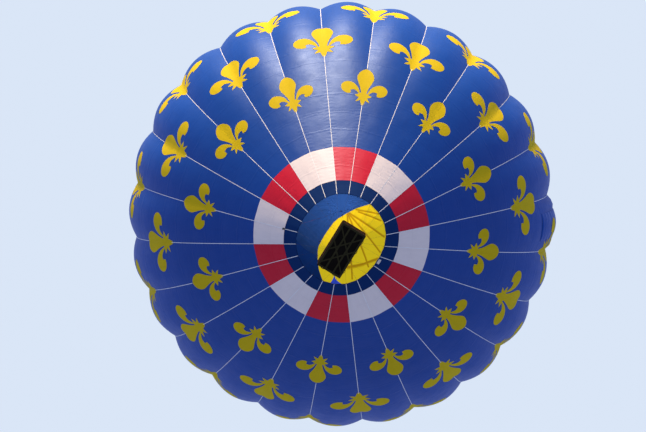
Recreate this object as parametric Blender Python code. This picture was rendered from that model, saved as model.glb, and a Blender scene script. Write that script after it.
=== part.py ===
"""Hot air balloon: gored envelope, parachute valve, scoop, gimballed double burner and wicker basket.

Metres, +Z up. The origin is on the axis at the widest level of the envelope, where its lift acts.
X runs along the basket's long side. The scoop hangs on the +Y side and opens towards -Y.
"""
import math

import bmesh
import bpy
import numpy as np
from mathutils import Matrix, Vector

# Envelope, a natural shape that hangs on its load tapes
EQUATOR_RADIUS = 10.0
APEX_HALF_ANGLE = math.radians(41.76)
PRESSURE_HEAD = -0.4
GORES = 24
FIRST_TAPE = math.radians(-37.5)
GORE_ANGLE = 2 * math.pi / GORES
GORE_FACETS = 4
BULGE = 0.154
BULGE_AT_ENDS = 0.05
SHELL = 0.010
SEAM_GAP = 0.00015
GAP = 0.0003

# Radii of the envelope's horizontal seams
MOUTH_RADIUS = 2.0
BAND_INNER_RADIUS = 2.563
BAND_OUTER_RADIUS = 3.958
MIDDLE_RADIUS = 7.8
UPPER_RADIUS = 9.2
SHOULDER_RADIUS = 7.2
PARACHUTE_RADIUS = 3.0
VENT_RADIUS = 2.6

# Load tapes and the crown ring that they meet at
TAPE_WIDTH = 0.06
TAPE_THICKNESS = 0.004
CROWN_RING_OUTER = 0.29
CROWN_RING_INNER = 0.20
CROWN_RING_FOOT = -0.005
CROWN_RING_SEAT = 0.024
CROWN_RING_TOP = 0.050

# Turning vent, on one gore at the equator: its places across the gore, and how far it stands out there
VENT_GORE = 6
VENT_ACROSS = (0.25, 0.5, 0.75)
VENT_RISE = ((0.02, 0.06, 0.02), (0.05, 0.14, 0.05), (0.02, 0.06, 0.02))

# Heights below the mouth
FRAME_DROP = 2.90
BASKET_DROP = 0.95
BASKET_HEIGHT = 1.10

# Burner load frame, gimbal and burners
FRAME_HALF = 0.45
FRAME_TUBE = 0.016
SOCKET_RADIUS = 0.036
SOCKET_HEIGHT = 0.10
GIMBAL_HALF = 0.36
GIMBAL_TUBE = 0.013
FRAME_PIN = 0.010
BURNER_PIN = 0.008
PIN_CLEARANCE = 0.0005
CAN_RADIUS = 0.13
CAN_HEIGHT = 0.33
CAN_OFFSET = 0.15
CAN_COILS = 6
CAN_GROOVE = 0.012
CAN_WALL = 0.022
CAN_FLOOR = 0.03

# Pivot blocks: inner end, outer end and half width, then how deep the bore starts and ends
FRAME_BLOCK = (0.396, 0.445, 0.022)
FRAME_BORE = (0.38, 0.432)
FRAME_PIN_END = 0.430
BURNER_BLOCK = (0.306, 0.358, 0.019)
BURNER_BORE = (0.29, 0.342)
BURNER_PIN_REACH = (0.25, 0.340)

# Burner base: half sizes of the beam and of the tray on it
BEAM_HALF = (0.028, 0.270, 0.024)
TRAY_HALF = (0.285, 0.105)
TRAY_FOOT = 0.006
BASE_TOP = 0.030

# Valve block under each can (radius, height), and the trigger handle under it
VALVE_DROP = 0.095
VALVE_PROFILE = ((0.030, 0.0), (0.042, 0.010), (0.042, 0.085), (0.060, 0.115))
HANDLE_HALF_WIDTH = 0.012
HANDLE_REACH = (-0.16, 0.03)
HANDLE_THICKNESS = 0.018
HANDLE_BEVEL = 0.004

# Flying wires
WIRE_RADIUS = 0.0035
WIRE_SPREAD = 0.030
WIRE_STANDOFF = 0.0065
SHACKLE_RADIUS = 0.042
SHACKLE_HEIGHT = 0.07
SHACKLE_CHAMFER = 0.012
SHACKLE_END = 0.8
WIRE_FOOT_DEPTH = 0.02

# Scoop
SCOOP_HEM_HALF = 0.42
SCOOP_HEM_RISE = 0.15
SCOOP_SQUARENESS = 6.0
SCOOP_FRONT_HEIGHT = 0.195
SCOOP_OPEN_HALF = math.radians(97.5)
SCOOP_LAP = 0.0005
SCOOP_THICKNESS = 0.006
SCOOP_ROWS = 5

# Basket
BASKET_LENGTH = 2.10
BASKET_WIDTH = 1.12
WALL = 0.035
RIM_WIDTH = 0.090
RIM_HEIGHT = 0.080
FLOOR_THICKNESS = 0.020
POST_RADIUS = 0.050
POST_ABOVE_RIM = 0.03
FRAME_CORNER = 0.05
GIMBAL_CORNER = 0.04
RIM_CORNER = 0.06
RIM_SIDES = 10

# Padded poles: share of the height, share of the radius
UPRIGHT_RADIUS = 0.042
UPRIGHT_PROFILE = ((0.0, 0.8), (0.06, 1.0), (0.94, 0.95), (1.0, 0.75))

# Skids under the floor; the braces stand a little apart in height so that no two faces coincide
LATTICE_HEIGHT = 0.040
LATTICE_CORNER = 0.05
BORDER_WIDTH = 0.085
RUNNER_WIDTH = 0.075
RUNNER_OFFSET = 0.185
RUNNER_SETBACK = (0.002, 0.001)
BRACE_WIDTH = 0.060
BRACE_ENDS = ((-0.87, 0.25), (-0.25, 0.87))
BRACE_FOOT = 0.008
BRACE_SETBACKS = ((1, 0.002), (-1, 0.003))
SKID_END_INSET = 0.04

# Gas cylinders; the profile is (radius, height) from the foot ring to the collar
CYLINDER_RADIUS = 0.15
CYLINDER_HEIGHT = 0.86
CYLINDER_X = 0.715
CYLINDER_Y = 0.355
CYLINDER_PROFILE = ((0.120, 0.0), (0.120, 0.03), (0.105, 0.045), (CYLINDER_RADIUS, 0.10),
                    (CYLINDER_RADIUS, CYLINDER_HEIGHT - 0.16), (0.125, CYLINDER_HEIGHT - 0.10),
                    (0.075, CYLINDER_HEIGHT - 0.075), (0.085, CYLINDER_HEIGHT - 0.06),
                    (0.085, CYLINDER_HEIGHT))

CORNERS = (("front_right", 1, -1), ("back_right", 1, 1), ("back_left", -1, 1), ("front_left", -1, -1))

# name: base colour, roughness, metallic
FINISHES = {
    "navy cloth": ((0.010, 0.022, 0.085), 0.6, 0.0),
    "blue cloth": ((0.012, 0.045, 0.26), 0.45, 0.0),
    "checker cloth": ((0.62, 0.03, 0.05), 0.45, 0.0),
    "white webbing": ((0.85, 0.85, 0.85), 0.6, 0.0),
    "inner blue cloth": ((0.05, 0.12, 0.32), 0.6, 0.0),
    "yellow cloth": ((0.78, 0.55, 0.02), 0.6, 0.0),
    "steel": ((0.55, 0.55, 0.56), 0.35, 1.0),
    "stainless coil": ((0.62, 0.60, 0.58), 0.3, 1.0),
    "black metal": ((0.03, 0.03, 0.03), 0.45, 0.6),
    "wicker": ((0.30, 0.17, 0.07), 0.7, 0.0),
    "leather": ((0.05, 0.03, 0.02), 0.5, 0.0),
    "cover cloth": ((0.03, 0.04, 0.06), 0.7, 0.0),
    "wood": ((0.16, 0.14, 0.08), 0.7, 0.0),
    "aluminium": ((0.7, 0.7, 0.72), 0.35, 1.0),
}


def clear_scene():
    """Remove whatever the scene holds."""
    for obj in list(bpy.data.objects):
        bpy.data.objects.remove(obj, do_unlink=True)


def material(finish):
    """One Principled material for each finish."""
    found = bpy.data.materials.get(finish)
    if found:
        return found
    colour, roughness, metallic = FINISHES[finish]
    made = bpy.data.materials.new(finish)
    made.use_nodes = True
    shader = made.node_tree.nodes["Principled BSDF"]
    shader.inputs["Base Color"].default_value = (*colour, 1.0)
    shader.inputs["Roughness"].default_value = roughness
    shader.inputs["Metallic"].default_value = metallic
    return made


def finish_object(name, bm, finish, origin=(0, 0, 0), smooth=True):
    """Turn a bmesh in world coordinates into an object whose own origin is the given point."""
    bmesh.ops.recalc_face_normals(bm, faces=bm.faces)
    bmesh.ops.translate(bm, verts=bm.verts, vec=-Vector(origin))
    mesh = bpy.data.meshes.new(name)
    bm.to_mesh(mesh)
    bm.free()
    if smooth:
        mesh.shade_smooth()
        mesh.set_sharp_from_angle(angle=math.radians(35))
    obj = bpy.data.objects.new(name, mesh)
    obj.location = origin
    mesh.materials.append(material(finish))
    bpy.context.collection.objects.link(obj)
    return obj


def shape_with(obj, tool, operation="UNION"):
    """Join a helper shape to an object, or cut it out, with a live Boolean."""
    modifier = obj.modifiers.new(operation.lower(), "BOOLEAN")
    modifier.operation = operation
    modifier.object = tool
    tool.hide_render = True
    tool.display_type = "WIRE"


def loft(bm, rings):
    """Closed solid through rings of points, all with the same count."""
    rows = [[bm.verts.new(point) for point in ring] for ring in rings]
    count = len(rows[0])
    for low, high in zip(rows, rows[1:]):
        for i in range(count):
            j = (i + 1) % count
            bm.faces.new((low[i], low[j], high[j], high[i]))
    bm.faces.new(rows[0][::-1])
    bm.faces.new(rows[-1])


def loop_sweep(bm, sections):
    """Closed ring through sections that go round and meet the first one again."""
    rows = [[bm.verts.new(point) for point in section] for section in sections]
    count = len(rows[0])
    for k, row in enumerate(rows):
        after = rows[(k + 1) % len(rows)]
        for i in range(count):
            j = (i + 1) % count
            bm.faces.new((row[i], row[j], after[j], after[i]))


def box(bm, low, high):
    """Box between two corners."""
    made = bmesh.ops.create_cube(bm, size=1.0)["verts"]
    centre = (Vector(low) + Vector(high)) / 2
    size = Vector(high) - Vector(low)
    bmesh.ops.scale(bm, verts=made, vec=size)
    bmesh.ops.translate(bm, verts=made, vec=centre)
    return made


def circle(centre, radius, sides, turn=0.0):
    """Ring of points in a horizontal plane."""
    angles = [turn + 2 * math.pi * k / sides for k in range(sides)]
    return [Vector((centre[0] + radius * math.cos(a), centre[1] + radius * math.sin(a), centre[2]))
            for a in angles]


def turned(bm, centre, profile, sides):
    """Solid of revolution about a vertical line; profile is (radius, height) from bottom to top."""
    rings = [circle((centre[0], centre[1], centre[2] + height), radius, sides) for radius, height in profile]
    loft(bm, rings)


def rod(bm, start, end, radius, sides=12):
    """Straight round rod between two points."""
    start, end = Vector(start), Vector(end)
    turn = (end - start).to_track_quat("Z", "Y").to_matrix().to_4x4()
    made = bmesh.ops.create_cone(bm, cap_ends=True, segments=sides, radius1=radius, radius2=radius,
                                 depth=(end - start).length)["verts"]
    bmesh.ops.transform(bm, matrix=Matrix.Translation((start + end) / 2) @ turn, verts=made)


def rounded_rectangle(half_x, half_y, radius, steps):
    """Points and outward directions round a rectangle with round corners."""
    points = []
    for sign_x, sign_y, start in ((1, 1, 0), (-1, 1, 90), (-1, -1, 180), (1, -1, 270)):
        for k in range(steps + 1):
            angle = math.radians(start + 90 * k / steps)
            outward = Vector((math.cos(angle), math.sin(angle), 0))
            corner = Vector((sign_x * (half_x - radius), sign_y * (half_y - radius), 0))
            points.append((corner + outward * radius, outward))
    return points


def tube_loop(bm, half_x, half_y, radius, height, tube, steps=3, sides=8):
    """Round tube bent into a rectangle with round corners, flat at one height."""
    sections = []
    for point, outward in rounded_rectangle(half_x, half_y, radius, steps):
        angles = [2 * math.pi * k / sides for k in range(sides)]
        sections.append([Vector((point.x, point.y, height)) + outward * (tube * math.cos(a))
                         + Vector((0, 0, tube * math.sin(a))) for a in angles])
    loop_sweep(bm, sections)


class Meridian:
    """Half section of the envelope: radius, height and slope along the arc from its virtual apex."""

    def __init__(self):
        step = 0.001
        radius, height, slope = 0.0, 0.0, APEX_HALF_ANGLE
        rows = [(radius, height, slope)]
        while radius >= 0.0:
            mid_slope = slope - radius * (height + PRESSURE_HEAD) * step / 2
            mid_radius = radius + math.sin(slope) * step / 2
            mid_height = height + math.cos(slope) * step / 2
            radius += math.sin(mid_slope) * step
            height += math.cos(mid_slope) * step
            slope -= mid_radius * (mid_height + PRESSURE_HEAD) * step
            rows.append((radius, height, slope))
        table = np.array(rows)
        self.widest = int(np.argmax(table[:, 0]))
        scale = EQUATOR_RADIUS / table[self.widest, 0]
        self.radius = table[:, 0] * scale
        self.height = (table[:, 1] - table[self.widest, 1]) * scale
        self.slope = table[:, 2]
        self.arc = np.arange(len(table)) * step * scale

    def below(self, radius):
        """Arc where the lower half has this radius."""
        return float(np.interp(radius, self.radius[:self.widest], self.arc[:self.widest]))

    def above(self, radius):
        """Arc where the upper half has this radius."""
        upper = slice(None, self.widest, -1)
        return float(np.interp(radius, self.radius[upper], self.arc[upper]))

    def at(self, arc):
        """Radius, height and slope at an arc."""
        return tuple(float(np.interp(arc, self.arc, column)) for column in (self.radius, self.height, self.slope))


MERIDIAN = Meridian()
MOUTH_ARC = MERIDIAN.below(MOUTH_RADIUS)
EQUATOR_ARC = float(MERIDIAN.arc[MERIDIAN.widest])
VENT_ARC = MERIDIAN.above(VENT_RADIUS)
CROWN_ARC = MERIDIAN.above((CROWN_RING_OUTER + CROWN_RING_INNER) / 2)
MOUTH_Z = MERIDIAN.at(MOUTH_ARC)[1]
FRAME_Z = MOUTH_Z - FRAME_DROP
BASKET_TOP = FRAME_Z - BASKET_DROP
BASKET_BOTTOM = BASKET_TOP - BASKET_HEIGHT

# node, arc of the lower seam, arc of the upper seam, rows, facets across a gore, finish
PANELS = (
    ("mouth_band", MOUTH_ARC, MERIDIAN.below(BAND_INNER_RADIUS), 1, 2, "navy cloth"),
    ("checker_band", MERIDIAN.below(BAND_INNER_RADIUS), MERIDIAN.below(BAND_OUTER_RADIUS), 2, 2, "checker cloth"),
    ("lower_gores", MERIDIAN.below(BAND_OUTER_RADIUS), MERIDIAN.below(MIDDLE_RADIUS), 3, GORE_FACETS, "blue cloth"),
    ("middle_gores", MERIDIAN.below(MIDDLE_RADIUS), EQUATOR_ARC, 3, GORE_FACETS, "blue cloth"),
    ("upper_gores", EQUATOR_ARC, MERIDIAN.above(UPPER_RADIUS), 2, GORE_FACETS, "blue cloth"),
    ("shoulder_gores", MERIDIAN.above(UPPER_RADIUS), MERIDIAN.above(SHOULDER_RADIUS), 2, GORE_FACETS, "blue cloth"),
    ("crown_gores", MERIDIAN.above(SHOULDER_RADIUS), MERIDIAN.above(PARACHUTE_RADIUS), 3, GORE_FACETS, "blue cloth"),
    ("vent_rim", MERIDIAN.above(PARACHUTE_RADIUS), VENT_ARC, 1, 2, "blue cloth"),
)


def tape_angle(index):
    """Azimuth of a load tape."""
    return FIRST_TAPE + index * GORE_ANGLE


def bulge_at(arc):
    """Height of a gore's crest over the width of the gore."""
    share = (arc - MOUTH_ARC) / (VENT_ARC - MOUTH_ARC)
    swell = math.sin(math.pi * min(max(share, 0.0), 1.0)) ** 0.7
    return BULGE_AT_ENDS + (BULGE - BULGE_AT_ENDS) * swell


def polar(radius, angle, height):
    """Point from its distance to the axis, azimuth and height."""
    return Vector((radius * math.cos(angle), radius * math.sin(angle), height))


def gore_point(arc, gore, across, lift=0.0):
    """Point on a gore; across runs from 0 at its first tape to 1 at the next."""
    radius, height, slope = MERIDIAN.at(arc)
    start = polar(radius, tape_angle(gore), height)
    end = polar(radius, tape_angle(gore + 1), height)
    middle = tape_angle(gore + 0.5)
    outward = polar(math.cos(slope), middle, -math.sin(slope))
    crest = bulge_at(arc) * (end - start).length
    return start.lerp(end, across) + outward * (4 * crest * across * (1 - across) + lift)


def shell_grid(bm, outer, inner, closed):
    """Thin wall between two grids of points, split along the same diagonals on both sides."""
    grids = [[[bm.verts.new(point) for point in row] for row in grid] for grid in (outer, inner)]
    rows, columns = len(outer), len(outer[0])
    spans = columns if closed else columns - 1
    for k in range(rows - 1):
        for i in range(spans):
            j = (i + 1) % columns
            for grid in grids:
                bm.faces.new((grid[k][i], grid[k][j], grid[k + 1][j]))
                bm.faces.new((grid[k][i], grid[k + 1][j], grid[k + 1][i]))
    front, back = grids
    for k in (0, rows - 1):
        for i in range(spans):
            j = (i + 1) % columns
            bm.faces.new((front[k][i], front[k][j], back[k][j], back[k][i]))
    if not closed:
        for k in range(rows - 1):
            for i in (0, columns - 1):
                bm.faces.new((front[k][i], front[k + 1][i], back[k + 1][i], back[k][i]))


def stations(start, end, rows):
    """Arcs of a panel's rows, held back from its neighbours by the seam gap."""
    arcs = [start + (end - start) * k / rows for k in range(rows + 1)]
    arcs[0] += SEAM_GAP
    arcs[-1] -= SEAM_GAP
    return arcs


def envelope_panels():
    """The rings of gores between the envelope's horizontal seams."""
    for name, start, end, rows, facets, finish in PANELS:
        bm = bmesh.new()
        sides = []
        for lift in (0.0, -SHELL):
            sides.append([[gore_point(arc, gore, facet / facets, lift)
                           for gore in range(GORES) for facet in range(facets)]
                          for arc in stations(start, end, rows)])
        shell_grid(bm, sides[0], sides[1], closed=True)
        finish_object(name, bm, finish)


def tape_section(arc, index):
    """Wedge that fills the valley between two gores: its root and its two outer edges."""
    radius, height, slope = MERIDIAN.at(arc)
    angle = tape_angle(index)
    root = polar(radius, angle, height)
    outward = polar(math.cos(slope), angle, -math.sin(slope))
    along = (Vector((-math.sin(angle), math.cos(angle), 0)))
    facet = gore_point(arc, index, 1 / GORE_FACETS) - root
    rise = TAPE_WIDTH / 2 * facet.dot(outward) / facet.dot(along)
    top = root + outward * (max(rise, 0.0) + TAPE_THICKNESS + GAP)
    return [root + outward * GAP, top + along * TAPE_WIDTH / 2, top - along * TAPE_WIDTH / 2]


def crown_arcs():
    """Arcs across the vent, from its edge to the crown ring."""
    return [VENT_ARC + (CROWN_ARC - VENT_ARC) * k / 3 for k in range(4)]


def load_tapes():
    """Webbing from the mouth over every seam to the crown ring."""
    arcs = []
    for name, start, end, rows, facets, finish in PANELS:
        arcs += [start + (end - start) * k / rows for k in range(rows)]
    arcs += crown_arcs()
    bm = bmesh.new()
    for index in range(GORES):
        loft(bm, [tape_section(arc, index) for arc in arcs])
    tapes = finish_object("load_tapes", bm, "white webbing")
    stitched = flat_ring("tape_hub_shape", CROWN_RING_FOOT, CROWN_RING_SEAT, "white webbing")
    shape_with(tapes, stitched)
    flat_ring("crown_ring", CROWN_RING_SEAT + GAP, CROWN_RING_TOP, "aluminium")


def flat_ring(name, low, high, finish):
    """Ring on the axis at the crown, between two heights over the fabric."""
    bm = bmesh.new()
    level = MERIDIAN.at(CROWN_ARC)[1]
    corners = ((CROWN_RING_INNER, low), (CROWN_RING_OUTER, low), (CROWN_RING_OUTER, high), (CROWN_RING_INNER, high))
    sections = []
    for k in range(GORES):
        angle = tape_angle(k + 0.5)
        sections.append([polar(radius, angle, level + height) for radius, height in corners])
    loop_sweep(bm, sections)
    return finish_object(name, bm, finish, smooth=False)


def parachute():
    """Valve panel that closes the vent from inside and drops to open it."""
    drop = SHELL + GAP + SEAM_GAP
    sides = []
    for depth in (drop, drop + SHELL):
        grid = []
        for arc in [MERIDIAN.above(PARACHUTE_RADIUS)] + crown_arcs():
            distance, height, slope = MERIDIAN.at(arc)
            grid.append([polar(distance - depth * math.cos(slope), tape_angle(k), height + depth * math.sin(slope))
                         for k in range(GORES)])
        sides.append(grid)
    bm = bmesh.new()
    grids = [[[bm.verts.new(point) for point in row] for row in grid] for grid in sides]
    for grid in grids:
        for low, high in zip(grid, grid[1:]):
            for i in range(GORES):
                j = (i + 1) % GORES
                bm.faces.new((low[i], low[j], high[j]))
                bm.faces.new((low[i], high[j], high[i]))
        bm.faces.new(grid[-1])
    for i in range(GORES):
        j = (i + 1) % GORES
        bm.faces.new((grids[0][0][i], grids[0][0][j], grids[1][0][j], grids[1][0][i]))
    finish_object("parachute", bm, "inner blue cloth", origin=(0, 0, MERIDIAN.at(CROWN_ARC)[1]))


def turning_vent():
    """Pouched flap over the slit that turns the balloon."""
    name, start, end, rows = PANELS[3][:4]
    pitch = (end - start) / rows
    arcs = [end - 2 * pitch, end - pitch, end - SEAM_GAP]
    inner = [[gore_point(arc, VENT_GORE, u, GAP) for u in VENT_ACROSS] for arc in arcs]
    outer = [[gore_point(arc, VENT_GORE, u, GAP + rise) for u, rise in zip(VENT_ACROSS, line)]
             for arc, line in zip(arcs, VENT_RISE)]
    bm = bmesh.new()
    shell_grid(bm, outer, inner, closed=False)
    finish_object("turning_vent", bm, "blue cloth")


def scoop():
    """Half-round cloth that hangs from the mouth, round the burners, and is open in front."""
    columns = GORES * 2
    mouth_radius, mouth_height, slope = MERIDIAN.at(MOUTH_ARC)
    top_z = mouth_height + SHELL * math.sin(slope) + GAP
    hem_z = FRAME_Z + SCOOP_HEM_RISE
    sides = []
    for inset in (0.0, SCOOP_THICKNESS):
        top_radius = mouth_radius - SHELL * math.cos(slope) - SCOOP_LAP - inset
        grid = [[] for _ in range(SCOOP_ROWS + 1)]
        for k in range(columns):
            angle = tape_angle(k / 2)
            power = abs(math.cos(angle)) ** SCOOP_SQUARENESS + abs(math.sin(angle)) ** SCOOP_SQUARENESS
            hem_radius = SCOOP_HEM_HALF / power ** (1 / SCOOP_SQUARENESS) - inset
            turn = abs((angle + math.pi / 2 + math.pi) % (2 * math.pi) - math.pi)
            share = min(turn / SCOOP_OPEN_HALF, 1.0)
            reach = SCOOP_FRONT_HEIGHT + (1 - SCOOP_FRONT_HEIGHT) * share ** 3
            for row in range(SCOOP_ROWS + 1):
                rise = reach * row / SCOOP_ROWS
                grid[row].append(polar(hem_radius + (top_radius - hem_radius) * rise, angle,
                                       hem_z + (top_z - hem_z) * rise))
        sides.append(grid)
    bm = bmesh.new()
    shell_grid(bm, sides[0], sides[1], closed=True)
    finish_object("scoop", bm, "yellow cloth")


def flying_wires():
    """Six steel wires and a shackle at each corner of the load frame."""
    radius, height, slope = MERIDIAN.at(MOUTH_ARC)
    for name, sign_x, sign_y in CORNERS:
        base = Vector((sign_x * FRAME_HALF, sign_y * FRAME_HALF, FRAME_Z + SOCKET_HEIGHT / 2 + GAP))
        bm = bmesh.new()
        end_radius = SHACKLE_RADIUS * SHACKLE_END
        turned(bm, base, ((end_radius, 0.0), (SHACKLE_RADIUS, SHACKLE_CHAMFER),
                          (SHACKLE_RADIUS, SHACKLE_HEIGHT - SHACKLE_CHAMFER), (end_radius, SHACKLE_HEIGHT)), 16)
        shackle = finish_object("flying_wires_" + name, bm, "steel")
        wires = bmesh.new()
        for index in range(GORES):
            angle = tape_angle(index)
            if math.cos(angle) * sign_x < 0 or math.sin(angle) * sign_y < 0:
                continue
            tape_end = polar(radius, angle, height)
            upward = polar(math.sin(slope), angle, math.cos(slope))
            outward = polar(math.cos(slope), angle, -math.sin(slope))
            top = tape_end + outward * WIRE_STANDOFF - upward * GAP
            level = base + Vector((0, 0, SHACKLE_HEIGHT - WIRE_FOOT_DEPTH))
            aim = Vector((tape_end.x - level.x, tape_end.y - level.y, 0)).normalized()
            foot = level + aim * WIRE_SPREAD
            line = (top - foot).normalized()
            side = line.cross(Vector((0, 0, 1))).normalized()
            other = line.cross(side)
            low, high = [], []
            for k in range(6):
                turn = math.pi * k / 3
                offset = side * (WIRE_RADIUS * math.cos(turn)) + other * (WIRE_RADIUS * math.sin(turn))
                corner = foot + offset
                low.append(corner)
                high.append(corner + line * ((top - corner).dot(upward) / line.dot(upward)))
            loft(wires, [low, high])
        shape_with(shackle, finish_object("wire_shape_" + name, wires, "steel"))


def helper(name, bm):
    """A helper shape that a Boolean reads."""
    return finish_object(name, bm, "steel")


def burner_frame():
    """Square load frame with a socket at each corner and two pivot blocks for the gimbal."""
    bm = bmesh.new()
    tube_loop(bm, FRAME_HALF, FRAME_HALF, FRAME_CORNER, FRAME_Z, FRAME_TUBE)
    frame = finish_object("burner_frame", bm, "steel")
    parts = bmesh.new()
    for name, sign_x, sign_y in CORNERS:
        turned(parts, (sign_x * FRAME_HALF, sign_y * FRAME_HALF, FRAME_Z - SOCKET_HEIGHT / 2),
               ((SOCKET_RADIUS, 0.0), (SOCKET_RADIUS, SOCKET_HEIGHT)), 16)
    inner, outer, half = FRAME_BLOCK
    for sign in (-1, 1):
        ends = sorted((sign * inner, sign * outer))
        box(parts, (ends[0], -half, FRAME_Z - half), (ends[1], half, FRAME_Z + half))
    shape_with(frame, helper("frame_fittings_shape", parts))
    bores = bmesh.new()
    for sign in (-1, 1):
        start, end = (Vector((sign * reach, 0, FRAME_Z)) for reach in FRAME_BORE)
        rod(bores, start, end, FRAME_PIN + PIN_CLEARANCE, 16)
    shape_with(frame, helper("frame_bore_shape", bores), "DIFFERENCE")


def gimbal_ring():
    """Inner square that tilts on the frame's pivots and carries the burners' pivots."""
    bm = bmesh.new()
    tube_loop(bm, GIMBAL_HALF, GIMBAL_HALF, GIMBAL_CORNER, FRAME_Z, GIMBAL_TUBE)
    ring = finish_object("gimbal_ring", bm, "steel")
    parts = bmesh.new()
    inner, outer, half = BURNER_BLOCK
    for sign in (-1, 1):
        rod(parts, (sign * GIMBAL_HALF, 0, FRAME_Z), (sign * FRAME_PIN_END, 0, FRAME_Z), FRAME_PIN, 16)
        ends = sorted((sign * inner, sign * outer))
        box(parts, (-half, ends[0], FRAME_Z - half), (half, ends[1], FRAME_Z + half))
    shape_with(ring, helper("gimbal_fittings_shape", parts))
    bores = bmesh.new()
    for sign in (-1, 1):
        start, end = (Vector((0, sign * reach, FRAME_Z)) for reach in BURNER_BORE)
        rod(bores, start, end, BURNER_PIN + PIN_CLEARANCE, 16)
    shape_with(ring, helper("gimbal_bore_shape", bores), "DIFFERENCE")


def burner_base():
    """Cross beam with its pivot pins, the tray under the cans and the valve blocks."""
    middle = Vector((0, 0, FRAME_Z))
    bm = bmesh.new()
    box(bm, middle - Vector(BEAM_HALF), middle + Vector(BEAM_HALF))
    base = finish_object("burner_base", bm, "black metal", smooth=False)
    parts = bmesh.new()
    half_x, half_y = TRAY_HALF
    box(parts, (-half_x, -half_y, FRAME_Z + TRAY_FOOT), (half_x, half_y, FRAME_Z + BASE_TOP))
    shape_with(base, helper("burner_tray_shape", parts))
    valves = bmesh.new()
    for sign in (-1, 1):
        turned(valves, (sign * CAN_OFFSET, 0, FRAME_Z - VALVE_DROP), VALVE_PROFILE, 16)
        start, end = (Vector((0, sign * reach, FRAME_Z)) for reach in BURNER_PIN_REACH)
        rod(valves, start, end, BURNER_PIN, 16)
    shape_with(base, helper("burner_valve_shape", valves))


def burner_cans():
    """Coil cans round the flames: a stack of turns, open at the top."""
    for name, sign in (("burner_can_right", 1), ("burner_can_left", -1)):
        pitch = CAN_HEIGHT / CAN_COILS
        outer = []
        for k in range(CAN_COILS):
            outer += [(CAN_RADIUS - CAN_GROOVE, pitch * k), (CAN_RADIUS, pitch * (k + 0.5))]
        outer.append((CAN_RADIUS - CAN_GROOVE, CAN_HEIGHT))
        inner = [(CAN_RADIUS - CAN_WALL, CAN_HEIGHT), (CAN_RADIUS - CAN_WALL, CAN_FLOOR)]
        bm = bmesh.new()
        turned(bm, (sign * CAN_OFFSET, 0, FRAME_Z + BASE_TOP + GAP), outer + inner, 16)
        finish_object(name, bm, "stainless coil")


def blast_valves():
    """Trigger handles under the valve blocks."""
    front, back = HANDLE_REACH
    top = FRAME_Z - VALVE_DROP - GAP
    for name, sign in (("blast_valve_right", 1), ("blast_valve_left", -1)):
        bm = bmesh.new()
        box(bm, (sign * CAN_OFFSET - HANDLE_HALF_WIDTH, front, top - HANDLE_THICKNESS),
            (sign * CAN_OFFSET + HANDLE_HALF_WIDTH, back, top))
        bmesh.ops.bevel(bm, geom=bm.edges, offset=HANDLE_BEVEL, segments=1, profile=0.5, affect="EDGES")
        finish_object(name, bm, "black metal")


def uprights():
    """Padded poles from the basket's corner posts to the load frame's sockets."""
    foot_x, foot_y = post_place()
    low = BASKET_TOP + POST_ABOVE_RIM + GAP
    high = FRAME_Z - SOCKET_HEIGHT / 2 - GAP
    for name, sign_x, sign_y in CORNERS:
        bm = bmesh.new()
        rings = []
        for share, swell in UPRIGHT_PROFILE:
            centre = (sign_x * (foot_x + (FRAME_HALF - foot_x) * share),
                      sign_y * (foot_y + (FRAME_HALF - foot_y) * share), low + (high - low) * share)
            rings.append(circle(centre, UPRIGHT_RADIUS * swell, 14))
        loft(bm, rings)
        finish_object("upright_" + name, bm, "cover cloth")


def post_place():
    """Centre of a corner post, just inside the padded rim."""
    inset = WALL / 2 + RIM_WIDTH / 2 + POST_RADIUS + 2 * GAP
    return BASKET_LENGTH / 2 - inset, BASKET_WIDTH / 2 - inset


def corner_posts():
    """Leather-clad posts in the basket's corners, with the sockets for the uprights."""
    x, y = post_place()
    low = BASKET_BOTTOM + FLOOR_THICKNESS + GAP
    high = BASKET_TOP + POST_ABOVE_RIM
    for name, sign_x, sign_y in CORNERS:
        bm = bmesh.new()
        turned(bm, (sign_x * x, sign_y * y, low), ((POST_RADIUS, 0.0), (POST_RADIUS, high - low)), 16)
        finish_object("corner_post_" + name, bm, "leather")


def basket_walls():
    """Four wicker walls, floor and padded rim."""
    half_x, half_y = BASKET_LENGTH / 2, BASKET_WIDTH / 2
    top = BASKET_TOP - RIM_HEIGHT / 2 - GAP
    for name, sign in (("wall_back", 1), ("wall_front", -1)):
        bm = bmesh.new()
        ends = sorted((sign * half_y, sign * (half_y - WALL)))
        box(bm, (-half_x, ends[0], BASKET_BOTTOM), (half_x, ends[1], top))
        finish_object(name, bm, "wicker", smooth=False)
    for name, sign in (("wall_right", 1), ("wall_left", -1)):
        bm = bmesh.new()
        ends = sorted((sign * half_x, sign * (half_x - WALL)))
        reach = half_y - WALL - GAP
        box(bm, (ends[0], -reach, BASKET_BOTTOM), (ends[1], reach, top))
        finish_object(name, bm, "wicker", smooth=False)
    bm = bmesh.new()
    reach_x, reach_y = half_x - WALL - GAP, half_y - WALL - GAP
    box(bm, (-reach_x, -reach_y, BASKET_BOTTOM), (reach_x, reach_y, BASKET_BOTTOM + FLOOR_THICKNESS))
    finish_object("basket_floor", bm, "wood", smooth=False)
    bm = bmesh.new()
    sections = []
    for point, outward in rounded_rectangle(half_x - WALL / 2, half_y - WALL / 2, RIM_CORNER, 3):
        section = []
        for k in range(RIM_SIDES):
            angle = 2 * math.pi * (k + 0.5) / RIM_SIDES
            section.append(Vector((point.x, point.y, BASKET_TOP)) + outward * (RIM_WIDTH / 2 * math.cos(angle))
                           + Vector((0, 0, RIM_HEIGHT / 2 * math.sin(angle))))
        sections.append(section)
    loop_sweep(bm, sections)
    finish_object("rim_pad", bm, "leather")


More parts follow.
